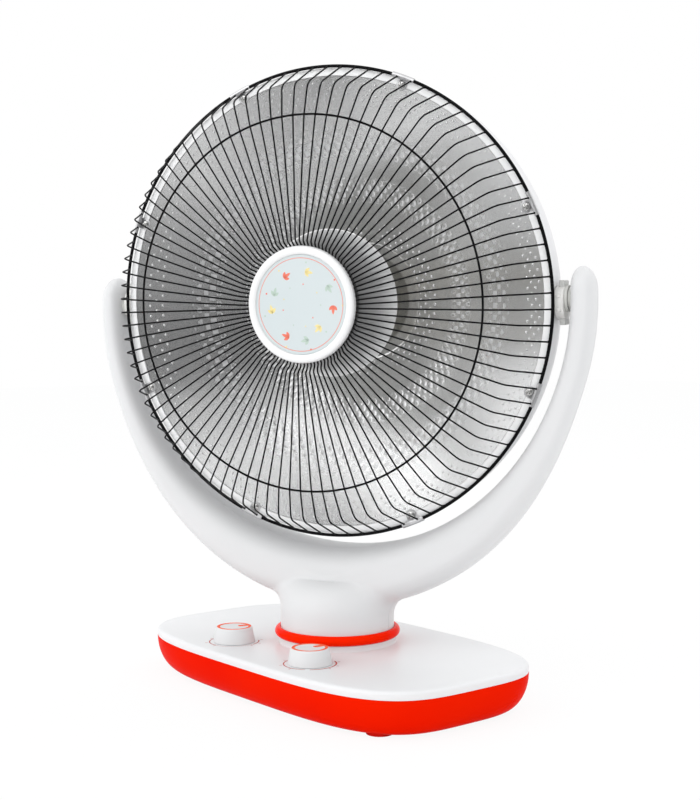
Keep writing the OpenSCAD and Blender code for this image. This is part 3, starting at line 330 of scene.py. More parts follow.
class Shape:
    """Points and faces of one piece, in its own frame in millimetres."""

    def __init__(self):
        self.points = []
        self.faces = []
        self.marks = []

    def add(self, points, faces, mark=0):
        first = len(self.points)
        self.points.extend([tuple(float(c) for c in p) for p in points])
        for face in faces:
            self.faces.append([first + i for i in face])
            self.marks.append(mark)
        return self

    def rings(self, rings, mark=0, caps=(True, True)):
        """Skin over a stack of rings that all have the same number of points."""
        n = len(rings[0])
        faces = []
        for k in range(len(rings) - 1):
            for i in range(n):
                a = k * n + i
                b = k * n + (i + 1) % n
                faces.append([a, b, b + n, a + n])
        last = (len(rings) - 1) * n
        if caps[0]:
            faces.append(list(range(n - 1, -1, -1)))
        if caps[1]:
            faces.append([last + i for i in range(n)])
        return self.add([p for ring in rings for p in ring], faces, mark)

    def spin(self, profile, count=128, mark=0, closed=False, start=0.0, sweep=360.0):
        """Turns a line of [radius, height] points about the local Z axis."""
        full = sweep >= 360
        angles = np.radians(start + sweep * np.arange(count if full else count + 1) / count)
        n = len(angles)
        points = []
        rows = []
        for r, z in profile:
            if r < 1e-6:
                rows.append([len(points)] * n)
                points.append((0, 0, z))
            else:
                rows.append(list(range(len(points), len(points) + n)))
                points.extend(zip(r * np.cos(angles), r * np.sin(angles), np.full(n, z)))
        faces = []
        pairs = len(rows) if closed else len(rows) - 1
        for k in range(pairs):
            low = rows[k]
            high = rows[(k + 1) % len(rows)]
            for i in range(n if full else n - 1):
                j = (i + 1) % n
                face = []
                for v in (low[i], low[j], high[j], high[i]):
                    if v not in face:
                        face.append(v)
                if len(face) > 2:
                    faces.append(face)
        if not full and closed:
            faces.append([row[0] for row in rows])
            faces.append([row[-1] for row in reversed(rows)])
        return self.add(points, faces, mark)

    def tube(self, path, radius, sides, up):
        """A round wire along a path."""
        path = [np.array(p, float) for p in path]
        last = len(path) - 1
        turns = 2 * math.pi * np.arange(sides) / sides
        rings = []
        for i, here in enumerate(path):
            along = path[min(i + 1, last)] - path[max(i - 1, 0)]
            along /= np.linalg.norm(along)
            side = np.cross(along, np.array(up, float))
            side /= np.linalg.norm(side)
            top = np.cross(side, along)
            rings.append([here + radius * (math.cos(a) * side + math.sin(a) * top)
                          for a in turns])
        return self.rings(rings)

    def copy_in(self, other, matrix):
        """Adds another shape, placed by a matrix."""
        first = len(self.points)
        self.points.extend([tuple(matrix @ Vector(p)) for p in other.points])
        self.faces.extend([[first + i for i in face] for face in other.faces])
        self.marks.extend(other.marks)
        return self

    def piece(self, name, place, body, slot, looks, nodes=(), sharp=38):
        """Makes the Blender object, which rides on a body of the frame."""
        points = np.array(self.points)
        mesh = bpy.data.meshes.new(name)
        mesh.from_pydata(placed(points, place).tolist(), [], self.faces)
        spot = mesh.attributes.new("spot", "FLOAT_VECTOR", "POINT")
        spot.data.foreach_set("vector", points.astype(np.float32).ravel())
        looks = [looks] if isinstance(looks, Look) else looks
        for look in looks:
            mesh.materials.append(look.material)
        mesh.polygons.foreach_set("material_index", self.marks)
        tidy_mesh(mesh, sharp)
        made = linked(name, mesh)
        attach(made, body)
        if nodes:
            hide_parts(*nodes)
        return made


def shade(mesh, sharp):
    """Smooth, but for edges that turn more than this many degrees."""
    mesh.shade_smooth()
    mesh.set_sharp_from_angle(angle=math.radians(sharp))


def add_wall(made, thickness):
    """Gives a skin this thickness, toward its inside."""
    solid = made.modifiers.new("wall", "SOLIDIFY")
    solid.thickness = thickness * MM
    solid.offset = -1


def tidy_mesh(mesh, sharp):
    """Joins doubled points, turns all faces outward and marks the sharp edges."""
    work = bmesh.new()
    work.from_mesh(mesh)
    bmesh.ops.remove_doubles(work, verts=work.verts, dist=1e-6)
    bmesh.ops.recalc_face_normals(work, faces=work.faces)
    work.to_mesh(mesh)
    work.free()
    shade(mesh, sharp)


def cut(made, shape, place, sharp):
    """Takes a shape away from a piece for good."""
    mesh = bpy.data.meshes.new("cutter")
    mesh.from_pydata(placed(shape.points, place).tolist(), [], shape.faces)
    tidy_mesh(mesh, sharp)
    cutter = linked("cutter", mesh)
    modifier = made.modifiers.new("cut", "BOOLEAN")
    modifier.operation = "DIFFERENCE"
    modifier.object = cutter
    modifier.solver = "EXACT"
    bpy.context.view_layer.update()
    seen = made.evaluated_get(bpy.context.evaluated_depsgraph_get())
    left = bpy.data.meshes.new_from_object(seen)
    made.modifiers.clear()
    made.data = left
    shade(left, sharp)
    bpy.data.objects.remove(cutter)


def signed_power(value, power):
    return math.copysign(abs(value) ** power, value)


# Base

BASE_W = 362
BASE_D = 203
SEAM_Z = 32
BASE_H = 39
TRAY_Z = 2
WALL = 2.4
SQUARENESS = 3.7
RING_POINTS = 240
TRAY_TUCK = 18
COVER_ROUND = 3.4
INNER_ROUND = 2.6
COLLAR_TOP = 44.5
COLLAR_BORE_R = 42.3
SCREW_SPOTS = ((146, 36), (-146, 36), (146, -36), (-146, -36), (62, 76), (-62, 76), (0, -76))
SCREW_BORE_R = 3.8
FOOT_X = 136
FOOT_Y = 61.5
FOOT_R = 10.55
PLUNGER_X = -92
PLUNGER_Y = -42
PLUNGER_BORE_R = 3.05
INLET_X = 95
INLET_Z = 17
INLET_BORE_R = 7.05
DIAL_X = 54
DIAL_Y = -65.4
DIAL_BORE_R = 5.05
SCALE_R = 21.4
PRINT_LIFT = 0.06
BASE_SHARP = 32


def base_ring(inset, z):
    """The base's outline, drawn in by this much."""
    turns = [2 * math.pi * i / RING_POINTS for i in range(RING_POINTS)]
    power = 2 / SQUARENESS
    return [((BASE_W / 2 - inset) * signed_power(math.cos(t), power),
             (BASE_D / 2 - inset) * signed_power(math.sin(t), power), z) for t in turns]


def tuck(z):
    """How far the tray's side is drawn in at a height."""
    t = (SEAM_Z - z) / (SEAM_Z - TRAY_Z + 0.5)
    return TRAY_TUCK * (1 - math.sqrt(max(0, 1 - t * t)))


def add_bore(holes, place, r, low, high):
    """A round cutter that reaches from low to high along the place's own Z axis."""
    holes.copy_in(Shape().spin([(0, low), (r, low), (r, high), (0, high)], 40), place)


def make_tray():
    shape = Shape()
    rings = [base_ring(tuck(TRAY_Z) + 9, TRAY_Z), base_ring(tuck(TRAY_Z) + 0.8, TRAY_Z),
             base_ring(tuck(TRAY_Z) + 0.15, TRAY_Z + 0.12)]
    for k in range(1, 21):
        z = TRAY_Z + 0.3 + (SEAM_Z - 0.75 - TRAY_Z) * (k / 20) ** 1.4
        rings.append(base_ring(tuck(z), z))
    rings += [base_ring(0.1, SEAM_Z - 0.15), base_ring(0.45, SEAM_Z), base_ring(WALL, SEAM_Z)]
    for k in range(10, -1, -1):
        z = 4.4 + (SEAM_Z - 0.5 - 4.4) * (k / 10) ** 1.4
        rings.append(base_ring(WALL + tuck(z), z))
    shape.rings(rings)
    tray = shape.piece("tray_moulding", BASE, "base", "red_plastic", RED, ["base_tray"],
                       BASE_SHARP)
    holes = Shape()
    for x, y in SCREW_SPOTS:
        add_bore(holes, moved(x, y, 0), SCREW_BORE_R, -1, 6.4)
    for x in (FOOT_X, -FOOT_X):
        for y in (FOOT_Y, -FOOT_Y):
            add_bore(holes, moved(x, y, 0), FOOT_R, -1, 3)
    add_bore(holes, moved(PLUNGER_X, PLUNGER_Y, 0), PLUNGER_BORE_R, -1, 6)
    add_bore(holes, moved(INLET_X, 85, INLET_Z) @ turned("X", -90), INLET_BORE_R, 0, 40)
    cut(tray, holes, BASE, BASE_SHARP)


def arc_line(r, start, end, width, z, gap=None):
    """A thin printed arc, whole or broken into dots."""
    shape = Shape()
    if gap is None:
        shape.spin([(r - width / 2, z), (r + width / 2, z)], 48, start=start, sweep=end - start)
        return shape
    angle = start
    while angle < end:
        shape.spin([(r - width / 2, z), (r + width / 2, z)], 3, start=angle, sweep=gap * 0.45)
        angle += gap
    return shape


def tick(angle, inner, outer, width, z):
    """A thin printed line that points away from the middle."""
    a = math.radians(angle)
    along = np.array([math.cos(a), math.sin(a)])
    side = np.array([-along[1], along[0]]) * width / 2
    corners = [along * inner - side, along * outer - side, along * outer + side,
               along * inner + side]
    return Shape().add([(x, y, z) for x, y in corners], [[0, 1, 2, 3]])


def make_cover():
    shape = Shape()
    rings = [base_ring(WALL, SEAM_Z), base_ring(0.5, SEAM_Z), base_ring(0.12, SEAM_Z + 0.15),
             base_ring(0, SEAM_Z + 0.5)]
    for k in range(0, 11):
        a = math.pi / 2 * k / 10
        rings.append(base_ring(COVER_ROUND * (1 - math.cos(a)),
                               BASE_H - COVER_ROUND + COVER_ROUND * math.sin(a)))
    rings.append(base_ring(20, BASE_H))
    shape.rings(rings, caps=(False, True))
    inner = [base_ring(WALL, SEAM_Z)]
    for k in range(0, 5):
        a = math.pi / 2 * k / 4
        inner.append(base_ring(WALL + INNER_ROUND * (1 - math.cos(a)),
                               BASE_H - WALL - INNER_ROUND + INNER_ROUND * math.sin(a)))
    shape.rings(inner, caps=(False, True))
    cover = shape.piece("cover_moulding", BASE, "base", "white_plastic", COVER_WHITE,
                        ["base_top_cover"], BASE_SHARP)
    holes = Shape()
    add_bore(holes, moved(0, SWIVEL_BACK, 0), COLLAR_BORE_R, 30, 60)
    for x in (DIAL_X, -DIAL_X):
        add_bore(holes, moved(x, DIAL_Y, 0), DIAL_BORE_R, 30, 60)
    cut(cover, holes, BASE, BASE_SHARP)


def make_collar():
    outline = soften([(COLLAR_BORE_R, 36.6), (54.0, 39.0), (51.2, 39.15), (50.8, 41.0),
                      (50.8, COLLAR_TOP), (COLLAR_BORE_R, COLLAR_TOP)], 0.8, 5, closed=True)
    collar = Shape().spin(outline, 160, closed=True)
    collar.piece("cover_collar", SWIVEL, "base", "white_plastic", COVER_WHITE)


def make_scales():
    """Printed arcs and ticks round the two dials."""
    z = BASE_H + PRINT_LIFT
    power_arcs = ((-160, -48, 1.0, None), (-38, 74, 1.3, None))
    timer_arcs = ((-160, -80, 1.0, None), (-78, 10, 1.0, 4.6), (14, 62, 1.1, None))
    scales = Shape()
    for x, arcs in ((DIAL_X, power_arcs), (-DIAL_X, timer_arcs)):
        place = moved(x, DIAL_Y, 0)
        for start, end, width, gap in arcs:
            scales.copy_in(arc_line(SCALE_R, start, end, width, z, gap), place)
        for angle in (-158, -116, -80, 4, 30, 64):
            scales.copy_in(tick(angle, 22.9, 25.2, 0.8, z), place)
    scales.piece("dial_scales", BASE, "base", "printed_disc", SCALE_RED)


TRIM_R = 54.5
TRIM_ROUND = 4.1
TRIM_BORE_R = 49.65


def make_trim_ring():
    middle = TRIM_R - TRIM_ROUND
    profile = [(TRIM_BORE_R, 0.3)]
    for k in range(0, 25):
        a = math.radians(-92 + 184 * k / 24)
        profile.append((middle + TRIM_ROUND * math.cos(a),
                        TRIM_ROUND + TRIM_ROUND * math.sin(a)))
    profile.append((TRIM_BORE_R, 7.9))
    shape = Shape().spin(profile, 180, closed=True)
    shape.piece("neck_ring", SWIVEL @ moved(0, 0, COLLAR_TOP), "base", "red_plastic", RING_RED,
                ["swivel_trim_ring"])


def make_knob(name, x, body, node, pointer):
    """A dial with a printed ring on its top and a pointer at this angle."""
    shape = Shape()
    profile = soften([(13.6, 39.3), (17.6, 39.08), (18.2, 39.3), (18.0, 40.5),
                      (15.85, 51.0), (15.2, 52.2), (13.0, 52.05)], 0.9, 5)
    shape.spin(profile + [(0, 51.95)], 120)
    shape.spin([(13.6, 39.55), (13.2, 48.0), (0, 48.0)], 60)
    top = 52.1
    shape.spin([(14.95, top - 0.2), (14.85, top + 0.08), (12.35, top + 0.08),
                (12.25, top - 0.1)], 120, 1, closed=True)
    bar = Shape()
    low = [(3.9, -1.4), (4.9, -2.4), (13.4, -2.4), (13.4, 2.4), (4.9, 2.4), (3.9, 1.4)]
    bar.rings([[(x, y, top - 0.2) for x, y in low], [(x, y, top + 0.07) for x, y in low]], 1)
    shape.copy_in(bar, turned("Z", pointer))
    shape.piece(name, BASE @ moved(x, DIAL_Y, 0), body, "white_plastic", [WHITE, PRINT_RED],
                [node])


make_tray()
make_cover()
make_collar()
make_scales()
make_trim_ring()
make_knob("power_dial_cap", DIAL_X, "power_dial", "power_knob", 86)
make_knob("timer_dial_cap", -DIAL_X, "timer_dial", "timer_knob", 74)


# Yoke, meshed from a smooth blend of the crescent and the neck

INNER_R = 212
ARM_T = 19
CRESCENT_T = 52
ARM_DEPTH = 36
CRESCENT_DEPTH = 79
ARM_MID_Y = -1.8
CRESCENT_MID_Y = 19
FLARE_START = 16.5
FLARE_END = 89
ARM_END = math.degrees(math.asin(26 / (INNER_R + ARM_T / 2)))
TIP_DEG = math.degrees(ARM_DEPTH / 2 / INNER_R)
NECK_R = 49.3
NECK_FOOT = 45.0 - PIVOT_H
SHOULDER_Z = 67.0 - PIVOT_H
SHOULDER_H = 28
SHOULDER_IN = 26
SPLIT_Y = 2.5
SECTION_POWER = 2.8
NECK_BLEND = 12.0
SHELL_GAP = 0.18
SHELL_WALL = 2.6
SHELL_EDGE = 0.35
YOKE_SHARP = 50


def grow(angle):
    """From 0 on the arms to 1 at the crescent's lowest point."""
    folded = np.where(angle < -90, -180 - angle, angle)
    t = np.clip((-folded - FLARE_START) / (FLARE_END - FLARE_START), 0, 1)
    return t * t * (3 - 2 * t)


def crescent_field(p):
    """About how far points lie outside the crescent, in the tilt axis's frame."""
    angle = np.degrees(np.arctan2(p[..., 2], p[..., 0]))
    angle = np.where(angle > 90, angle - 360, angle)
    share = grow(angle)
    half_t = (ARM_T + (CRESCENT_T - ARM_T) * share) / 2
    half_d = (ARM_DEPTH + (CRESCENT_DEPTH - ARM_DEPTH) * share) / 2
    across = (np.hypot(p[..., 0], p[..., 2]) - INNER_R - half_t) / half_t
    deep = (p[..., 1] - ARM_MID_Y - (CRESCENT_MID_Y - ARM_MID_Y) * share) / half_d
    inner = (np.abs(across) ** SECTION_POWER + np.abs(deep) ** SECTION_POWER) ** (1 / SECTION_POWER)
    past = np.abs(angle + 90) - (90 + ARM_END - TIP_DEG)
    tip = np.clip(past / TIP_DEG, 0, 4)
    return (np.sqrt(inner ** 2 + tip ** 2) - 1) * half_t


def neck_field(p):
    """About how far points lie outside the neck and its shoulder."""
    r = np.hypot(p[..., 0], p[..., 1] - PIVOT_AHEAD)
    rise = np.clip((p[..., 2] - SHOULDER_Z) / SHOULDER_H, 0, 1)
    side = r - (NECK_R - SHOULDER_IN * (1 - np.sqrt(1 - rise ** 2)))
    ends = np.maximum(NECK_FOOT - p[..., 2], p[..., 2] - (SHOULDER_Z + SHOULDER_H))
    return np.maximum(side * np.where(rise > 0, 0.8, 1), ends)


def yoke_field(p):
    """Crescent and neck, run into one another."""
    a = crescent_field(p)
    b = neck_field(p)
    h = np.clip(0.5 + 0.5 * (b - a) / NECK_BLEND, 0, 1)
    mixed = b * (1 - h) + a * h - NECK_BLEND * h * (1 - h)
    return np.maximum(mixed, NECK_FOOT - p[..., 2])


def field_mesh(field, low, high, step):
    """A mesh of quads on the surface where the field is zero."""
    sizes = [int(math.ceil((high[k] - low[k]) / step)) + 1 for k in range(3)]
    axes = [low[k] + step * np.arange(sizes[k]) for k in range(3)]
    grid = np.stack(np.meshgrid(*axes, indexing="ij"), axis=-1)
    inside = field(grid) < 0
    cells = np.zeros([s - 1 for s in sizes], int)
    for i, j, k in np.ndindex(2, 2, 2):
        cells += inside[i:sizes[0] - 1 + i, j:sizes[1] - 1 + j, k:sizes[2] - 1 + k]
    crossed = (cells > 0) & (cells < 8)
    index = -np.ones(cells.shape, int)
    index[crossed] = np.arange(crossed.sum())
    spots = np.argwhere(crossed)
    points = np.array(low) + step * (spots + 0.5)
    faces = []
    for axis in range(3):
        u, v = [a for a in range(3) if a != axis]
        for spot in np.argwhere(np.diff(inside, axis=axis)):
            if not (0 < spot[u] < sizes[u] - 1 and 0 < spot[v] < sizes[v] - 1):
                continue
            corners = []
            for du, dv in ((-1, -1), (0, -1), (0, 0), (-1, 0)):
                cell = spot.copy()
                cell[u] += du
                cell[v] += dv
                corners.append(int(index[tuple(cell)]))
            faces.append(corners)
    for _ in range(6):
        points = to_surface(field, points)
    return points, faces


def to_surface(field, points):
    """Moves points one step toward where the field is zero."""
    value = field(points)
    slope = np.zeros_like(points)
    for k in range(3):
        nudge = np.zeros(3)
        nudge[k] = 0.05
        slope[:, k] = (field(points + nudge) - field(points - nudge)) / 0.1
    size = np.maximum((slope ** 2).sum(axis=1), 0.05)
    step = np.clip(value / size, -3, 3)
    return points - slope * step[:, None]


def relax(points, faces, field):
    """Evens the mesh out along the surface."""
    quads = np.array(faces)
    for _ in range(3):
        total = np.zeros_like(points)
        count = np.zeros(len(points))
        centre = points[quads].mean(axis=1)
        for k in range(4):
            np.add.at(total, quads[:, k], centre)
            np.add.at(count, quads[:, k], 1)
        points = total / np.maximum(count, 1)[:, None]
        for _ in range(3):
            points = to_surface(field, points)
    return points


def keep_side(made, y_sign):
    """Keeps the part of the yoke on one side of the split, as a shell open at its foot."""
    split = TILT @ Vector((0, SPLIT_Y + y_sign * SHELL_GAP, 0))
    toward = (TILT.to_3x3() @ Vector((0, 1, 0))).normalized() * y_sign
    foot = TILT @ Vector((0, 0, NECK_FOOT + 0.02))
    work = bmesh.new()
    work.from_mesh(made.data)
    for spot, away in ((split, -toward), (foot, (0, 0, -1))):
        everything = work.verts[:] + work.edges[:] + work.faces[:]
        bmesh.ops.bisect_plane(work, geom=everything, plane_co=spot, plane_no=away,
                               clear_outer=True)
    work.to_mesh(made.data)
    work.free()
    shade(made.data, YOKE_SHARP)
    add_wall(made, SHELL_WALL)
    edge = made.modifiers.new("rim", "BEVEL")
    edge.width = SHELL_EDGE * MM
    edge.segments = 2
    edge.limit_method = "ANGLE"
    edge.angle_limit = math.radians(YOKE_SHARP)


def make_yoke():
    low = (-237, -50, -294)
    high = (237, 64, 46)
    step = 2.2
    points, faces = field_mesh(yoke_field, low, high, step)
    points = relax(points, faces, yoke_field)
    for name, node, sign in (("yoke_front_moulding", "yoke_front_shell", -1),
                             ("yoke_rear_moulding", "yoke_rear_shell", 1)):
        shape = Shape().add(points, faces)
        made = shape.piece(name, TILT, "yoke", "white_plastic", WHITE, [node], 60)
        keep_side(made, sign)


make_yoke()


# Rear housing and reflector

BOWL_R = 185.5
RIM_R = 192.0
RIM_S = 3.1
BOWL_DEPTH = 80
EDGE_DROP = 5.6
SHEET = 0.8
HOUSING_R = 199
HOUSING_DEPTH = 104
HOUSING_WALL = 1.6
SIDE_DEPTH = 22
BACK_R = 62
VENTS = 24
COLUMNS_PER_VENT = 7
VENT_FROM_R = 112
VENT_TO_R = 154
LIP_ROWS = 7


def make_housing():
    """Thin shell with a rounded side, slots in its back and an enamelled lip, the lip in a lighter
    copy of the enamel as painted light.
    """
    outside = [(192.25, 2.6), (192.6, 2.1), (197.6, 2.1), (198.4, 2.3), (198.8, 2.7),
               (HOUSING_R, 3.5), (HOUSING_R, 5), (HOUSING_R, 12), (HOUSING_R, 21)]
    steps = 26
    for k in range(0, steps + 1):
        a = math.radians(90 * k / steps)
        r = BACK_R + (HOUSING_R - BACK_R) * max(0, math.cos(a)) ** 0.9
        outside.append((r, SIDE_DEPTH + (HOUSING_DEPTH - SIDE_DEPTH) * math.sin(a)))
    outside = [p for p in outside if p[0] > BACK_R + 0.5]
    outside += [(BACK_R, HOUSING_DEPTH), (22, HOUSING_DEPTH)]
    columns = VENTS * COLUMNS_PER_VENT
    points = []
    for r, s in outside:
        for i in range(columns):
            a = 2 * math.pi * (i + 0.5) / columns
            points.append((r * math.cos(a), r * math.sin(a), s))
    faces = []
    for k in range(len(outside) - 1):
        middle_r = (outside[k][0] + outside[k + 1][0]) / 2
        slotted = VENT_FROM_R < middle_r < VENT_TO_R and outside[k][1] > 40
        for i in range(columns):
            if slotted and i % COLUMNS_PER_VENT == 2:
                continue
            a = k * columns + i
            b = k * columns + (i + 1) % columns
            faces.append([a, b, b + columns, a + columns])
    shape = Shape().add(points, faces)
    # Mark 1 is the lip's rows, in the lighter enamel that paints the light on the lip.
    shape.marks = [1 if max(face) < LIP_ROWS * columns else 0 for face in faces]
    made = shape.piece("housing_shell", DISH, "head", "white_paint", [ENAMEL, LIT_LIP_WHITE],
                       ["rear_housing"], 50)
    add_wall(made, HOUSING_WALL)


QUILT_DEPTH = 0.46
QUILT_ROW = 10.2
QUILT_COUNT = 84
QUILT_FROM_R = 76
QUILT_TO_R = 158
DIMPLE_LEAST = 0.07
LAMP_STEP_R = 52.4
HOLDER_STEP_R = 47.2
OUTER_BEADS = 122
INNER_BEADS = 54


def bowl_s(r):
    """Depth of the bowl at a radius; its edge meets the lip at RIM_R."""
    return RIM_S + EDGE_DROP + BOWL_DEPTH * (1 - (r / BOWL_R) ** 2)


def make_reflector():
    """Dimpled bowl, with rows of small pressed beads near its rim and round the lamps."""
    columns = 840
    turns = 2 * math.pi * np.arange(columns) / columns
    step = 1.1
    radii = [RIM_R, 191.8] + list(np.arange(191.0, 56.0, -step))
    radii += [54.0, 52.6, 52.2, 50.0, 47.4, 47.0, 44.0, 40.0, 34.0, 28.0, 22.0]
    points = []
    for r in radii:
        s = bowl_s(r) + quilt(r, turns)
        s = s + (0.5 if r < LAMP_STEP_R else 0) + (0.6 if r < HOLDER_STEP_R else 0)
        points.append(np.stack([r * np.cos(turns), r * np.sin(turns), s], axis=1))
    for r in (22.0, 60, 100, 140, 165, 180, RIM_R):
        s = np.full(columns, bowl_s(r) + SHEET + (1.1 if r < 47 else 0))
        points.append(np.stack([r * np.cos(turns), r * np.sin(turns), s], axis=1))
    rows = len(points)
    faces = []
    marks = []
    half = math.pi / columns
    for k in range(rows):
        low = k * columns
        high = ((k + 1) % rows) * columns
        front = k < len(radii)
        # Dimple faces get the paler look that paints their sheen.
        dimpled = quilt(radii[k], turns + half) > DIMPLE_LEAST if front else turns < 0
        for i in range(columns):
            j = (i + 1) % columns
            faces.append([low + i, low + j, high + j, high + i])
            marks.append(1 if dimpled[i] else 0)
    shape = Shape().add(np.concatenate(points), faces)
    shape.marks = marks
    for rows_r, count in (((174.0, 178.4, 182.8, 187.2), OUTER_BEADS),
                          ((56.0, 61.0, 66.0, 71.0), INNER_BEADS)):
        for row, r in enumerate(rows_r):
            add_beads(shape, r, count, row)
    shape.piece("reflector_bowl", DISH, "head", "reflector_aluminium", [BOWL, DIMPLE],
                ["reflector", "reflector_middle", "reflector_centre"], 60)


def quilt(r, turns):
    """Soft dimples between the bead rows, each row half a step round from the next."""
    fade = np.clip(min((r - QUILT_FROM_R) / 8, (QUILT_TO_R - r) / 26), 0, 1)
    wave = math.cos(2 * math.pi * r / QUILT_ROW) * np.cos(QUILT_COUNT * turns)
    return QUILT_DEPTH * fade * np.clip(wave, 0, 1) ** 1.3


def add_beads(shape, r, count, row):
    """One ring of small domes that stand out of the sheet toward the viewer."""
    slope = math.degrees(math.atan(bowl_s(r - 0.5) - bowl_s(r + 0.5)))
    dome = Shape().spin([(1.3, 0.25), (1.22, -0.15), (0.95, -0.6), (0.5, -0.92), (0, -1.05)], 10)
    for k in range(count):
        angle = 360 * (k + 0.5 * (row % 2)) / count
        place = turned("Z", angle) @ moved(r, 0, bowl_s(r)) @ turned("Y", slope)
        shape.copy_in(dome, place)


make_housing()
make_reflector()


# Emitter hood

HOOD_NECK_R = 48
HOOD_FRONT_S = -29
HOOD_ROWS = 18


def hood_side(k):
    """A point of the hood's flared side, from its front edge back to its mouth."""
    t = k / HOOD_ROWS
    return HOOD_NECK_R + 15.0 * t ** 1.15, HOOD_FRONT_S + 36.2 * t


def make_hood():
    outside = [(5.2, -33.0), (20, -33.0), (20.8, -32.4), (26, -32.4), (26.8, -33.0),
               (43.0, -33.0), (46.2, -32.2), (HOOD_NECK_R, HOOD_FRONT_S)]
    outside += [hood_side(k) for k in range(1, HOOD_ROWS + 1)]
    mouth = [(63.5, 7.4), (63.3, 8.0), (62.6, 8.0), (62.3, 7.4)]
    inside = [(r - 0.8, s + 0.1) for r, s in map(hood_side, range(HOOD_ROWS, -1, -1))]
    inside += [(45.4, -31.4), (42.6, -32.2), (5.2, -32.2)]
    columns = 200
    shape = Shape().spin(outside + mouth + inside, columns, closed=True)
    first_inner = (len(outside) + 3) * columns
    shape.marks = [1 if k >= first_inner else 0 for k in range(len(shape.faces))]
    shape.piece("hood_shell", DISH, "head", "hood_steel", [HOOD, HOOD_INSIDE],
                ["emitter_hood"], 30)


make_hood()


# Guard

RING_R = 200
RING_WIRE_R = 1.4
KNEE_R = 182
KNEE_S = -38.5
MIDDLE_RING_R = 155.8
WIRES = 96
WIRE_R = 0.7
WIRE_TURN = 0.4
WIRE_SLANT = 1.8


def wire_turn(k):
    """Where round the guard a wire stands, in degrees."""
    return 360 / WIRES * (k + 0.5) + WIRE_TURN


def wire_profile():
    """Path of one radial wire as radius and depth, from the cap out to the ring."""
    ring = np.array([RING_R, 0.0])
    run = ring - np.array([KNEE_R, KNEE_S])
    end = ring - run / np.linalg.norm(run) * 1.2
    line = [(40.5, -42.65), (49.7, -42.65), (54.7, -47.8), (MIDDLE_RING_R, -43.85),
            (KNEE_R, KNEE_S), end]
    line = [np.array(p) for p in line]
    path = [line[0]]
    for i, radius, steps in ((1, 3, 3), (2, 3, 3), (3, 8, 3), (4, 12, 6)):
        path += rounded_corner(line[i - 1], line[i], line[i + 1], radius, steps)[0]
    path.append(end)
    return path


def make_guard():
    for radius, wire, s, name, node in (
            (RING_R, RING_WIRE_R, 0, "outer_guard_ring", "guard_outer_ring"),
            (MIDDLE_RING_R, 0.9, -42.2, "middle_guard_ring", "guard_middle_ring"),
            (42.0, 0.9, -41.0, "inner_guard_ring", "guard_inner_ring")):
        turns = [2 * math.pi * k / 16 for k in range(16)]
        profile = [(radius + wire * math.cos(a), s + wire * math.sin(a)) for a in turns]
        rings = Shape().spin(profile, 288, closed=True)
        if radius == RING_R:
            add_welds(rings)
        rings.piece(name, DISH, "head", "guard_black", BLACK, [node], 60)
    path = wire_profile()
    wires = Shape()
    for k in range(WIRES):
        turn = math.radians(wire_turn(k))
        line = []
        for r, s in path:
            off = WIRE_SLANT * np.clip((178 - r) / 108, 0, 1)
            line.append((r * math.cos(turn) - off, r * math.sin(turn) + off, s))
        wires.tube(line, WIRE_R, 8, (-math.sin(turn), math.cos(turn), 0))
    wires.piece("radial_guard_wires", DISH, "head", "guard_black", BLACK,
                ["guard_wires", "guard_wire_returns"], 60)


def add_welds(ring):
    """Small beads of weld where the wires meet the outer ring."""
    turns = [math.pi * j / 6 for j in range(7)]
    bead = Shape().spin([(max(1.15 * math.sin(a), 0), 1.5 * math.cos(a)) for a in turns], 10)
    for k in range(WIRES):
        ring.copy_in(bead, turned("Z", wire_turn(k)) @ moved(199.3, 0, -1.2) @ turned("Y", 22))


CAP_S = -50.2
DISC_S = CAP_S + 2.2
PRINT_S = -0.02


def make_cap():
    """The cap's shell: a raised rim round a flat seat for the printed disc."""
    edge = [(0, 3.8), (41.2, 3.8), (41.35, 3.6), (41.4, 1.9)]
    crown = soften([(41.4, 1.9), (41.9, 1.1), (43.2, 0.4), (45.4, 0.2), (47.3, 0.8),
                    (48.2, 2.1), (48.5, 3.7), (48.5, 6.8), (37.0, 6.8), (35.0, 5.6)], 1.0, 4)
    Shape().spin(edge + [tuple(p) for p in crown] + [(0, 5.6)], 200).piece(
        "cap_shell", DISH @ moved(0, 0, CAP_S), "head", "white_plastic", CAP_WHITE,
        ["guard_cap"], 40)


def leaf(length, width):
    """A small pointed leaf, flat in its own plane."""
    shares = [k / 12 for k in range(13)]
    side = [(length * t, width / 2 * math.sin(math.pi * t) ** 0.8, 0) for t in shares]
    outline = side + [(x, -y, 0) for x, y, _ in side[11:0:-1]]
    return outline, [list(range(len(outline)))]


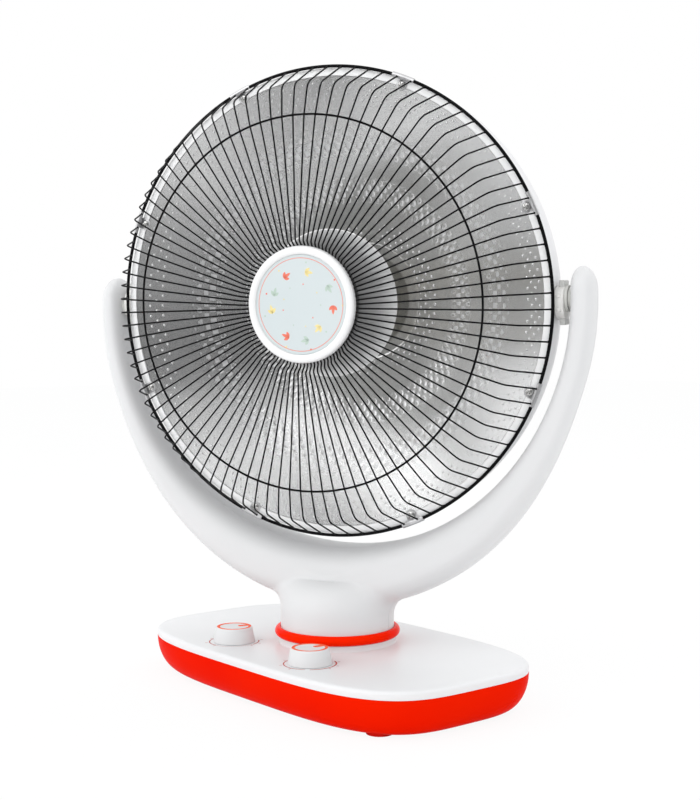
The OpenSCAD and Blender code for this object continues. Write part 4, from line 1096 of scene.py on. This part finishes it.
def make_disc():
    """Printed disc in the cap: a plain pale ground with small leaves and dots."""
    shape = Shape()
    shape.spin([(0, 1.15), (41.1, 1.15), (41.25, 1.0), (41.25, 0.2), (41.1, 0.02), (0, 0)], 160)
    rng = np.random.default_rng(7)
    count = 9
    for k in range(count):
        a = 360 / count * k + rng.uniform(-8, 8)
        r = 27 + rng.uniform(-3.5, 3.5)
        x = r * math.cos(math.radians(a))
        y = r * math.sin(math.radians(a))
        for turn in (-42, 0, 42):
            one = Shape().add(*leaf(7.5 - abs(turn) * 0.05, 2.6), mark=(1, 2, 3)[k % 3])
            shape.copy_in(one, moved(x, y, PRINT_S) @ turned("Z", a + 90) @ turned("Z", turn))
        for size, share, marks in ((0.8, 1.28, (2, 3, 1)), (0.6, 0.62, (3, 1, 2))):
            dot = Shape().spin([(0, PRINT_S), (size, PRINT_S)], 16, mark=marks[k % 3])
            shape.copy_in(dot, moved(x * share, y * share, 0))
    shape.spin([(38.2, PRINT_S), (38.7, PRINT_S)], 120, 1)
    shape.piece("cap_print", DISH @ moved(0, 0, DISC_S), "head", "printed_disc",
                [DISC_BLUE, CORAL, YELLOW, SAGE], ["cap_disc"], 40)


CLIPS = 8
CLIP_R = 193.8


def make_clips():
    """Sheet straps that hook over the outer ring, each with an ear under its screw."""
    straps = Shape()
    screws = Shape()
    for k in range(CLIPS):
        turn = 360 / CLIPS * (k + 0.5)
        place = turned("Z", turn)
        straps.copy_in(clip_strap(), place)
        screws.copy_in(clip_screw(turn), place @ moved(CLIP_R, 0, 1.2))
    straps.piece("ring_clips", DISH, "head", "spring_steel", CLIP_STEEL, ["guard_clips"], 40)
    screws.piece("clip_screw_heads", DISH, "head", "steel", SCREW, ["clip_screws"], 40)


def clip_strap():
    """A round ear on the rim, a neck between two wires and a band over the ring."""
    strap = Shape()
    ear = Shape().spin(soften([(1.5, 1.25), (4.9, 1.25), (4.9, 2.05), (1.5, 2.05)], 0.2, 2,
                              closed=True), 32, closed=True)
    strap.copy_in(ear, moved(CLIP_R, 0, 0))
    inner = 1.5
    outer = 2.3
    neck_in = [(194.5, 2.0), (RING_R - inner - 0.1, 2.0)]
    neck_out = [(RING_R - outer - 0.1, 1.25), (194.5, 1.25)]
    strap.spin(neck_in + hook(inner, 180, 240) + hook(outer, 240, 180) + neck_out, 6,
               closed=True, start=-1.4, sweep=2.8)
    strap.spin(hook(inner, 215, 400) + hook(outer, 400, 215), 14, closed=True, start=-2.9,
               sweep=5.8)
    return strap


def hook(radius, start, end):
    """An arc round the outer ring's wire: 270 is its front, 360 its outside."""
    turns = np.radians(np.linspace(start, end, 13))
    return [(RING_R + radius * math.cos(a), radius * math.sin(a)) for a in turns]


def clip_screw(turn):
    """Domed head with a cross slot, on its shank."""
    arm = 0.34
    turns = 2 * math.pi * np.arange(64) / 64
    rings = []
    for r in (3.4, 3.38, 3.1, 2.6, 2.1, 1.9, 1.5, 1.1, 0.7, 0.45, 0.2):
        height = -1.6 * math.sqrt(max(0.0, 1 - (r / 3.42) ** 2)) - 0.1
        ring = []
        for a in turns:
            x = r * math.cos(a)
            y = r * math.sin(a)
            sunk = r < 2.0 and min(abs(x), abs(y)) < arm
            ring.append((x, y, height + (0.95 if sunk else 0)))
        rings.append(ring)
    rings.append([(0.05 * math.cos(a), 0.05 * math.sin(a), -0.7) for a in turns])
    head = Shape().rings([[(x, y, 0.0) for x, y, _ in rings[0]]] + rings)
    whole = Shape().copy_in(head, turned("Z", 20 + turn))
    whole.spin([(1.4, 0), (1.4, 8)], 16)
    return whole


make_guard()
make_cap()
make_disc()
make_clips()


# Pivot plates beside the housing

HUB_DROP = 3.0


def make_pivots():
    """Round hub with two domes on its rim and a block at either end."""
    for side, name in ((90, "right_pivot_plate"), (-90, "left_pivot_plate")):
        shape = Shape()
        hub = Shape().spin(soften([(4.2, 199.2), (13.8, 199.2), (13.8, 206.9), (4.2, 206.9)],
                                  0.8, 3, closed=True), 72, closed=True)
        shape.copy_in(hub, moved(-HUB_DROP, 0, 0))
        for a in (-25, 25):
            dome = Shape().spin([(2.2, 0), (2.1, 0.6), (1.6, 1.1), (0.9, 1.4), (0, 1.5)], 24)
            spot = turned("Z", 90 + a) @ moved(13.7, 0, 202.6) @ turned("Y", 90)
            shape.copy_in(dome, moved(-HUB_DROP, 0, 0) @ spot)
        for end in (-1, 1):
            rings = []
            for inset, z in ((0.6, 201.8), (0, 202.4), (0, 206.2), (0.6, 206.8)):
                near = end * 11.5
                far = end * (18.0 - inset)
                half = 6.2 - inset
                rings.append([(near, -half, z), (far, -half, z), (far, half, z), (near, half, z)])
            shape.copy_in(Shape().rings(rings, 1), moved(-HUB_DROP, 0, 0))
        place = HEAD @ turned("Y", side) @ turned("Z", 180)
        nodes = ["pivot_plates"] if side > 0 else []
        shape.piece(name, place, "head", "zinc", [PIVOT_PLASTIC, PIVOT_GREY], nodes, 40)


make_pivots()


# Materials of the carried-over nodes

CARRIED = (
    (STEEL, ("base_screws", "swivel_bearing", "oscillation_motor", "timer_switch",
             "yoke_screws", "swivel_post", "post_retaining_ring", "drive_lever",
             "back_cover_screws", "hood_rod", "hood_nut", "cap_screws", "pivot_bolts")),
    (BRASS, ("thrust_washer", "power_spindle", "timer_spindle")),
    (INNER_PLASTIC, ("crank_disc", "tip_over_plunger", "tilt_bushes", "friction_washers")),
    (CERAMIC, ("terminal_block", "rear_lamp_holder", "front_lamp_holder")),
    (SHADE_BLACK, ("cord_gland", "thermal_cutout", "cap_clamp_plate")),
    (SWITCH_BLACK, ("power_switch", "tip_over_switch")),
    (BALLAST, ("ballast_plates",)),
    (RUBBER, ("rubber_feet",)),
    (ENAMEL, ("housing_back_cover",)),
    (QUARTZ, ("halogen_tubes",)),
)

for look, nodes in CARRIED:
    for node in nodes:
        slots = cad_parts[node].data.materials
        slots.clear()
        slots.append(look.material)


# Floor, lamps and camera

FLOOR_REACH = 8.0
FLOOR_ROOM = ((0.25, 1.0), (0.5, 0.5), (0.85, 0.22))
WORLD_ROOM = ((0.32, 1.0), (0.6, 0.55), (0.8, 0.2))


def make_stage():
    """Pale floor and world that a camera sees as white; the floor keeps the shadow."""
    mesh = bpy.data.meshes.new("floor")
    corners = [(-1, -1), (1, -1), (1, 1), (-1, 1)]
    mesh.from_pydata([(x * FLOOR_REACH, y * FLOOR_REACH, 0) for x, y in corners], [],
                     [[0, 1, 2, 3]])
    floor = linked("floor", mesh)
    look = Look("pale_floor")
    look.set(Roughness=0.9, Specular_IOR_Level=0.1)
    look.colour(look.noise(2.0, 2.0), (0.3, (0.92, 0.92, 0.92)), (0.7, (0.95, 0.95, 0.95)))
    white = look.node("ShaderNodeEmission")
    white.inputs["Color"].default_value = (1, 1, 1, 1)
    room = look.node("ShaderNodeEmission")
    shade = room_shade(look.nodes, look.links, look.place(), (0.97, -0.26, 0), FLOOR_ROOM)
    look.links.new(shade, room.inputs["Color"])
    seen = by_ray(look.nodes, look.links, look.shader, (
        ("Is Glossy Ray", room, 0.9), ("Is Transmission Ray", white, 0.9),
        ("Is Camera Ray", white, 0.92)))
    look.links.new(seen, look.nodes["Material Output"].inputs["Surface"])
    mesh.materials.append(look.material)
    make_world()


def by_ray(nodes, links, under, layers):
    """Lays a shader over the one before, for one kind of ray and with a share."""
    path = nodes.new("ShaderNodeLightPath")
    under = under.outputs[0]
    for ray, over, share in layers:
        part = path.outputs[ray]
        if share < 1:
            product = nodes.new("ShaderNodeMath")
            product.operation = "MULTIPLY"
            product.inputs[1].default_value = share
            links.new(part, product.inputs[0])
            part = product.outputs[0]
        layer = nodes.new("ShaderNodeMixShader")
        links.new(part, layer.inputs["Fac"])
        links.new(under, layer.inputs[1])
        links.new(over.outputs[0], layer.inputs[2])
        under = layer.outputs[0]
    return under


def room_shade(nodes, links, place, room_way, stops):
    """Grey levels along the way from the backdrop to the room behind the camera."""
    toward = nodes.new("ShaderNodeVectorMath")
    toward.operation = "DOT_PRODUCT"
    toward.inputs[1].default_value = room_way
    links.new(place, toward.inputs[0])
    ramp = nodes.new("ShaderNodeValToRGB")
    ramp.color_ramp.interpolation = "EASE"
    ramp.color_ramp.elements.new(0.5)
    for element, (spot, value) in zip(ramp.color_ramp.elements, stops):
        element.position = spot
        element.color = (value, value, value, 1)
    links.new(toward.outputs["Value"], ramp.inputs["Fac"])
    return ramp.outputs["Color"]


def make_world():
    """White where the camera looks; metal also shows the darker room behind the camera."""
    world = bpy.data.worlds.new("studio")
    bpy.context.scene.world = world
    world.use_nodes = True
    nodes = world.node_tree.nodes
    links = world.node_tree.links
    nodes.clear()
    out = nodes.new("ShaderNodeOutputWorld")
    glow = nodes.new("ShaderNodeBackground")
    glow.inputs["Color"].default_value = (0.98, 0.99, 1.0, 1)
    glow.inputs["Strength"].default_value = 0.98
    white = nodes.new("ShaderNodeBackground")
    white.inputs["Color"].default_value = (1, 1, 1, 1)
    room = nodes.new("ShaderNodeBackground")
    for seen in (white, room):
        seen.inputs["Strength"].default_value = 1.0
    way = nodes.new("ShaderNodeTexCoord").outputs["Generated"]
    shade = room_shade(nodes, links, way, (0.866, -0.404, -0.292), WORLD_ROOM)
    links.new(shade, room.inputs["Color"])
    seen = by_ray(nodes, links, glow, (("Is Glossy Ray", room, 1), ("Is Transmission Ray", white, 1),
                                       ("Is Camera Ray", white, 1)))
    links.new(seen, out.inputs["Surface"])


def lamp(name, place, target, size, power):
    """A soft box that faces its target."""
    data = bpy.data.lights.new(name, "AREA")
    data.shape = "RECTANGLE"
    data.size, data.size_y = size
    data.energy = power
    made = linked(name, data)
    made.location = place
    aim = Vector(target) - Vector(place)
    made.rotation_euler = aim.to_track_quat("-Z", "Y").to_euler()


CAMERA_PLACE = (0.9232, -0.7324, 0.2966)
CAMERA_AZ = 50.77
CAMERA_PITCH = 0.53
CAMERA_ROLL = -0.16


def make_camera():
    """The photograph's camera, as fitted to its rings and outlines."""
    az = math.radians(CAMERA_AZ)
    pitch = math.radians(CAMERA_PITCH)
    roll = math.radians(CAMERA_ROLL)
    right = Vector((math.cos(az), math.sin(az), 0))
    back = Vector((math.sin(az) * math.cos(pitch), -math.cos(az) * math.cos(pitch),
                   math.sin(pitch)))
    up = back.cross(right)
    side = right * math.cos(roll) + up * math.sin(roll)
    top = up * math.cos(roll) - right * math.sin(roll)
    data = bpy.data.cameras.new("camera")
    data.lens = 61.13
    data.sensor_width = 36
    data.shift_y = -0.0536
    camera = linked("camera", data)
    matrix = Matrix((side, top, back)).transposed().to_4x4()
    matrix.translation = CAMERA_PLACE
    camera.matrix_world = matrix
    bpy.context.scene.camera = camera


make_stage()
lamp("key", (-0.55, -2.5, 1.9), (0, 0, 0.3), (4.0, 2.6), 33)
lamp("side", (1.5, -0.7, 2.6), (0, 0, 0.25), (3.4, 3.0), 9)
lamp("rear", (0.4, 2.3, 2.5), (0, 0, 0.3), (1.8, 1.8), 10)
make_camera()

bpy.context.scene.view_settings.view_transform = "Standard"
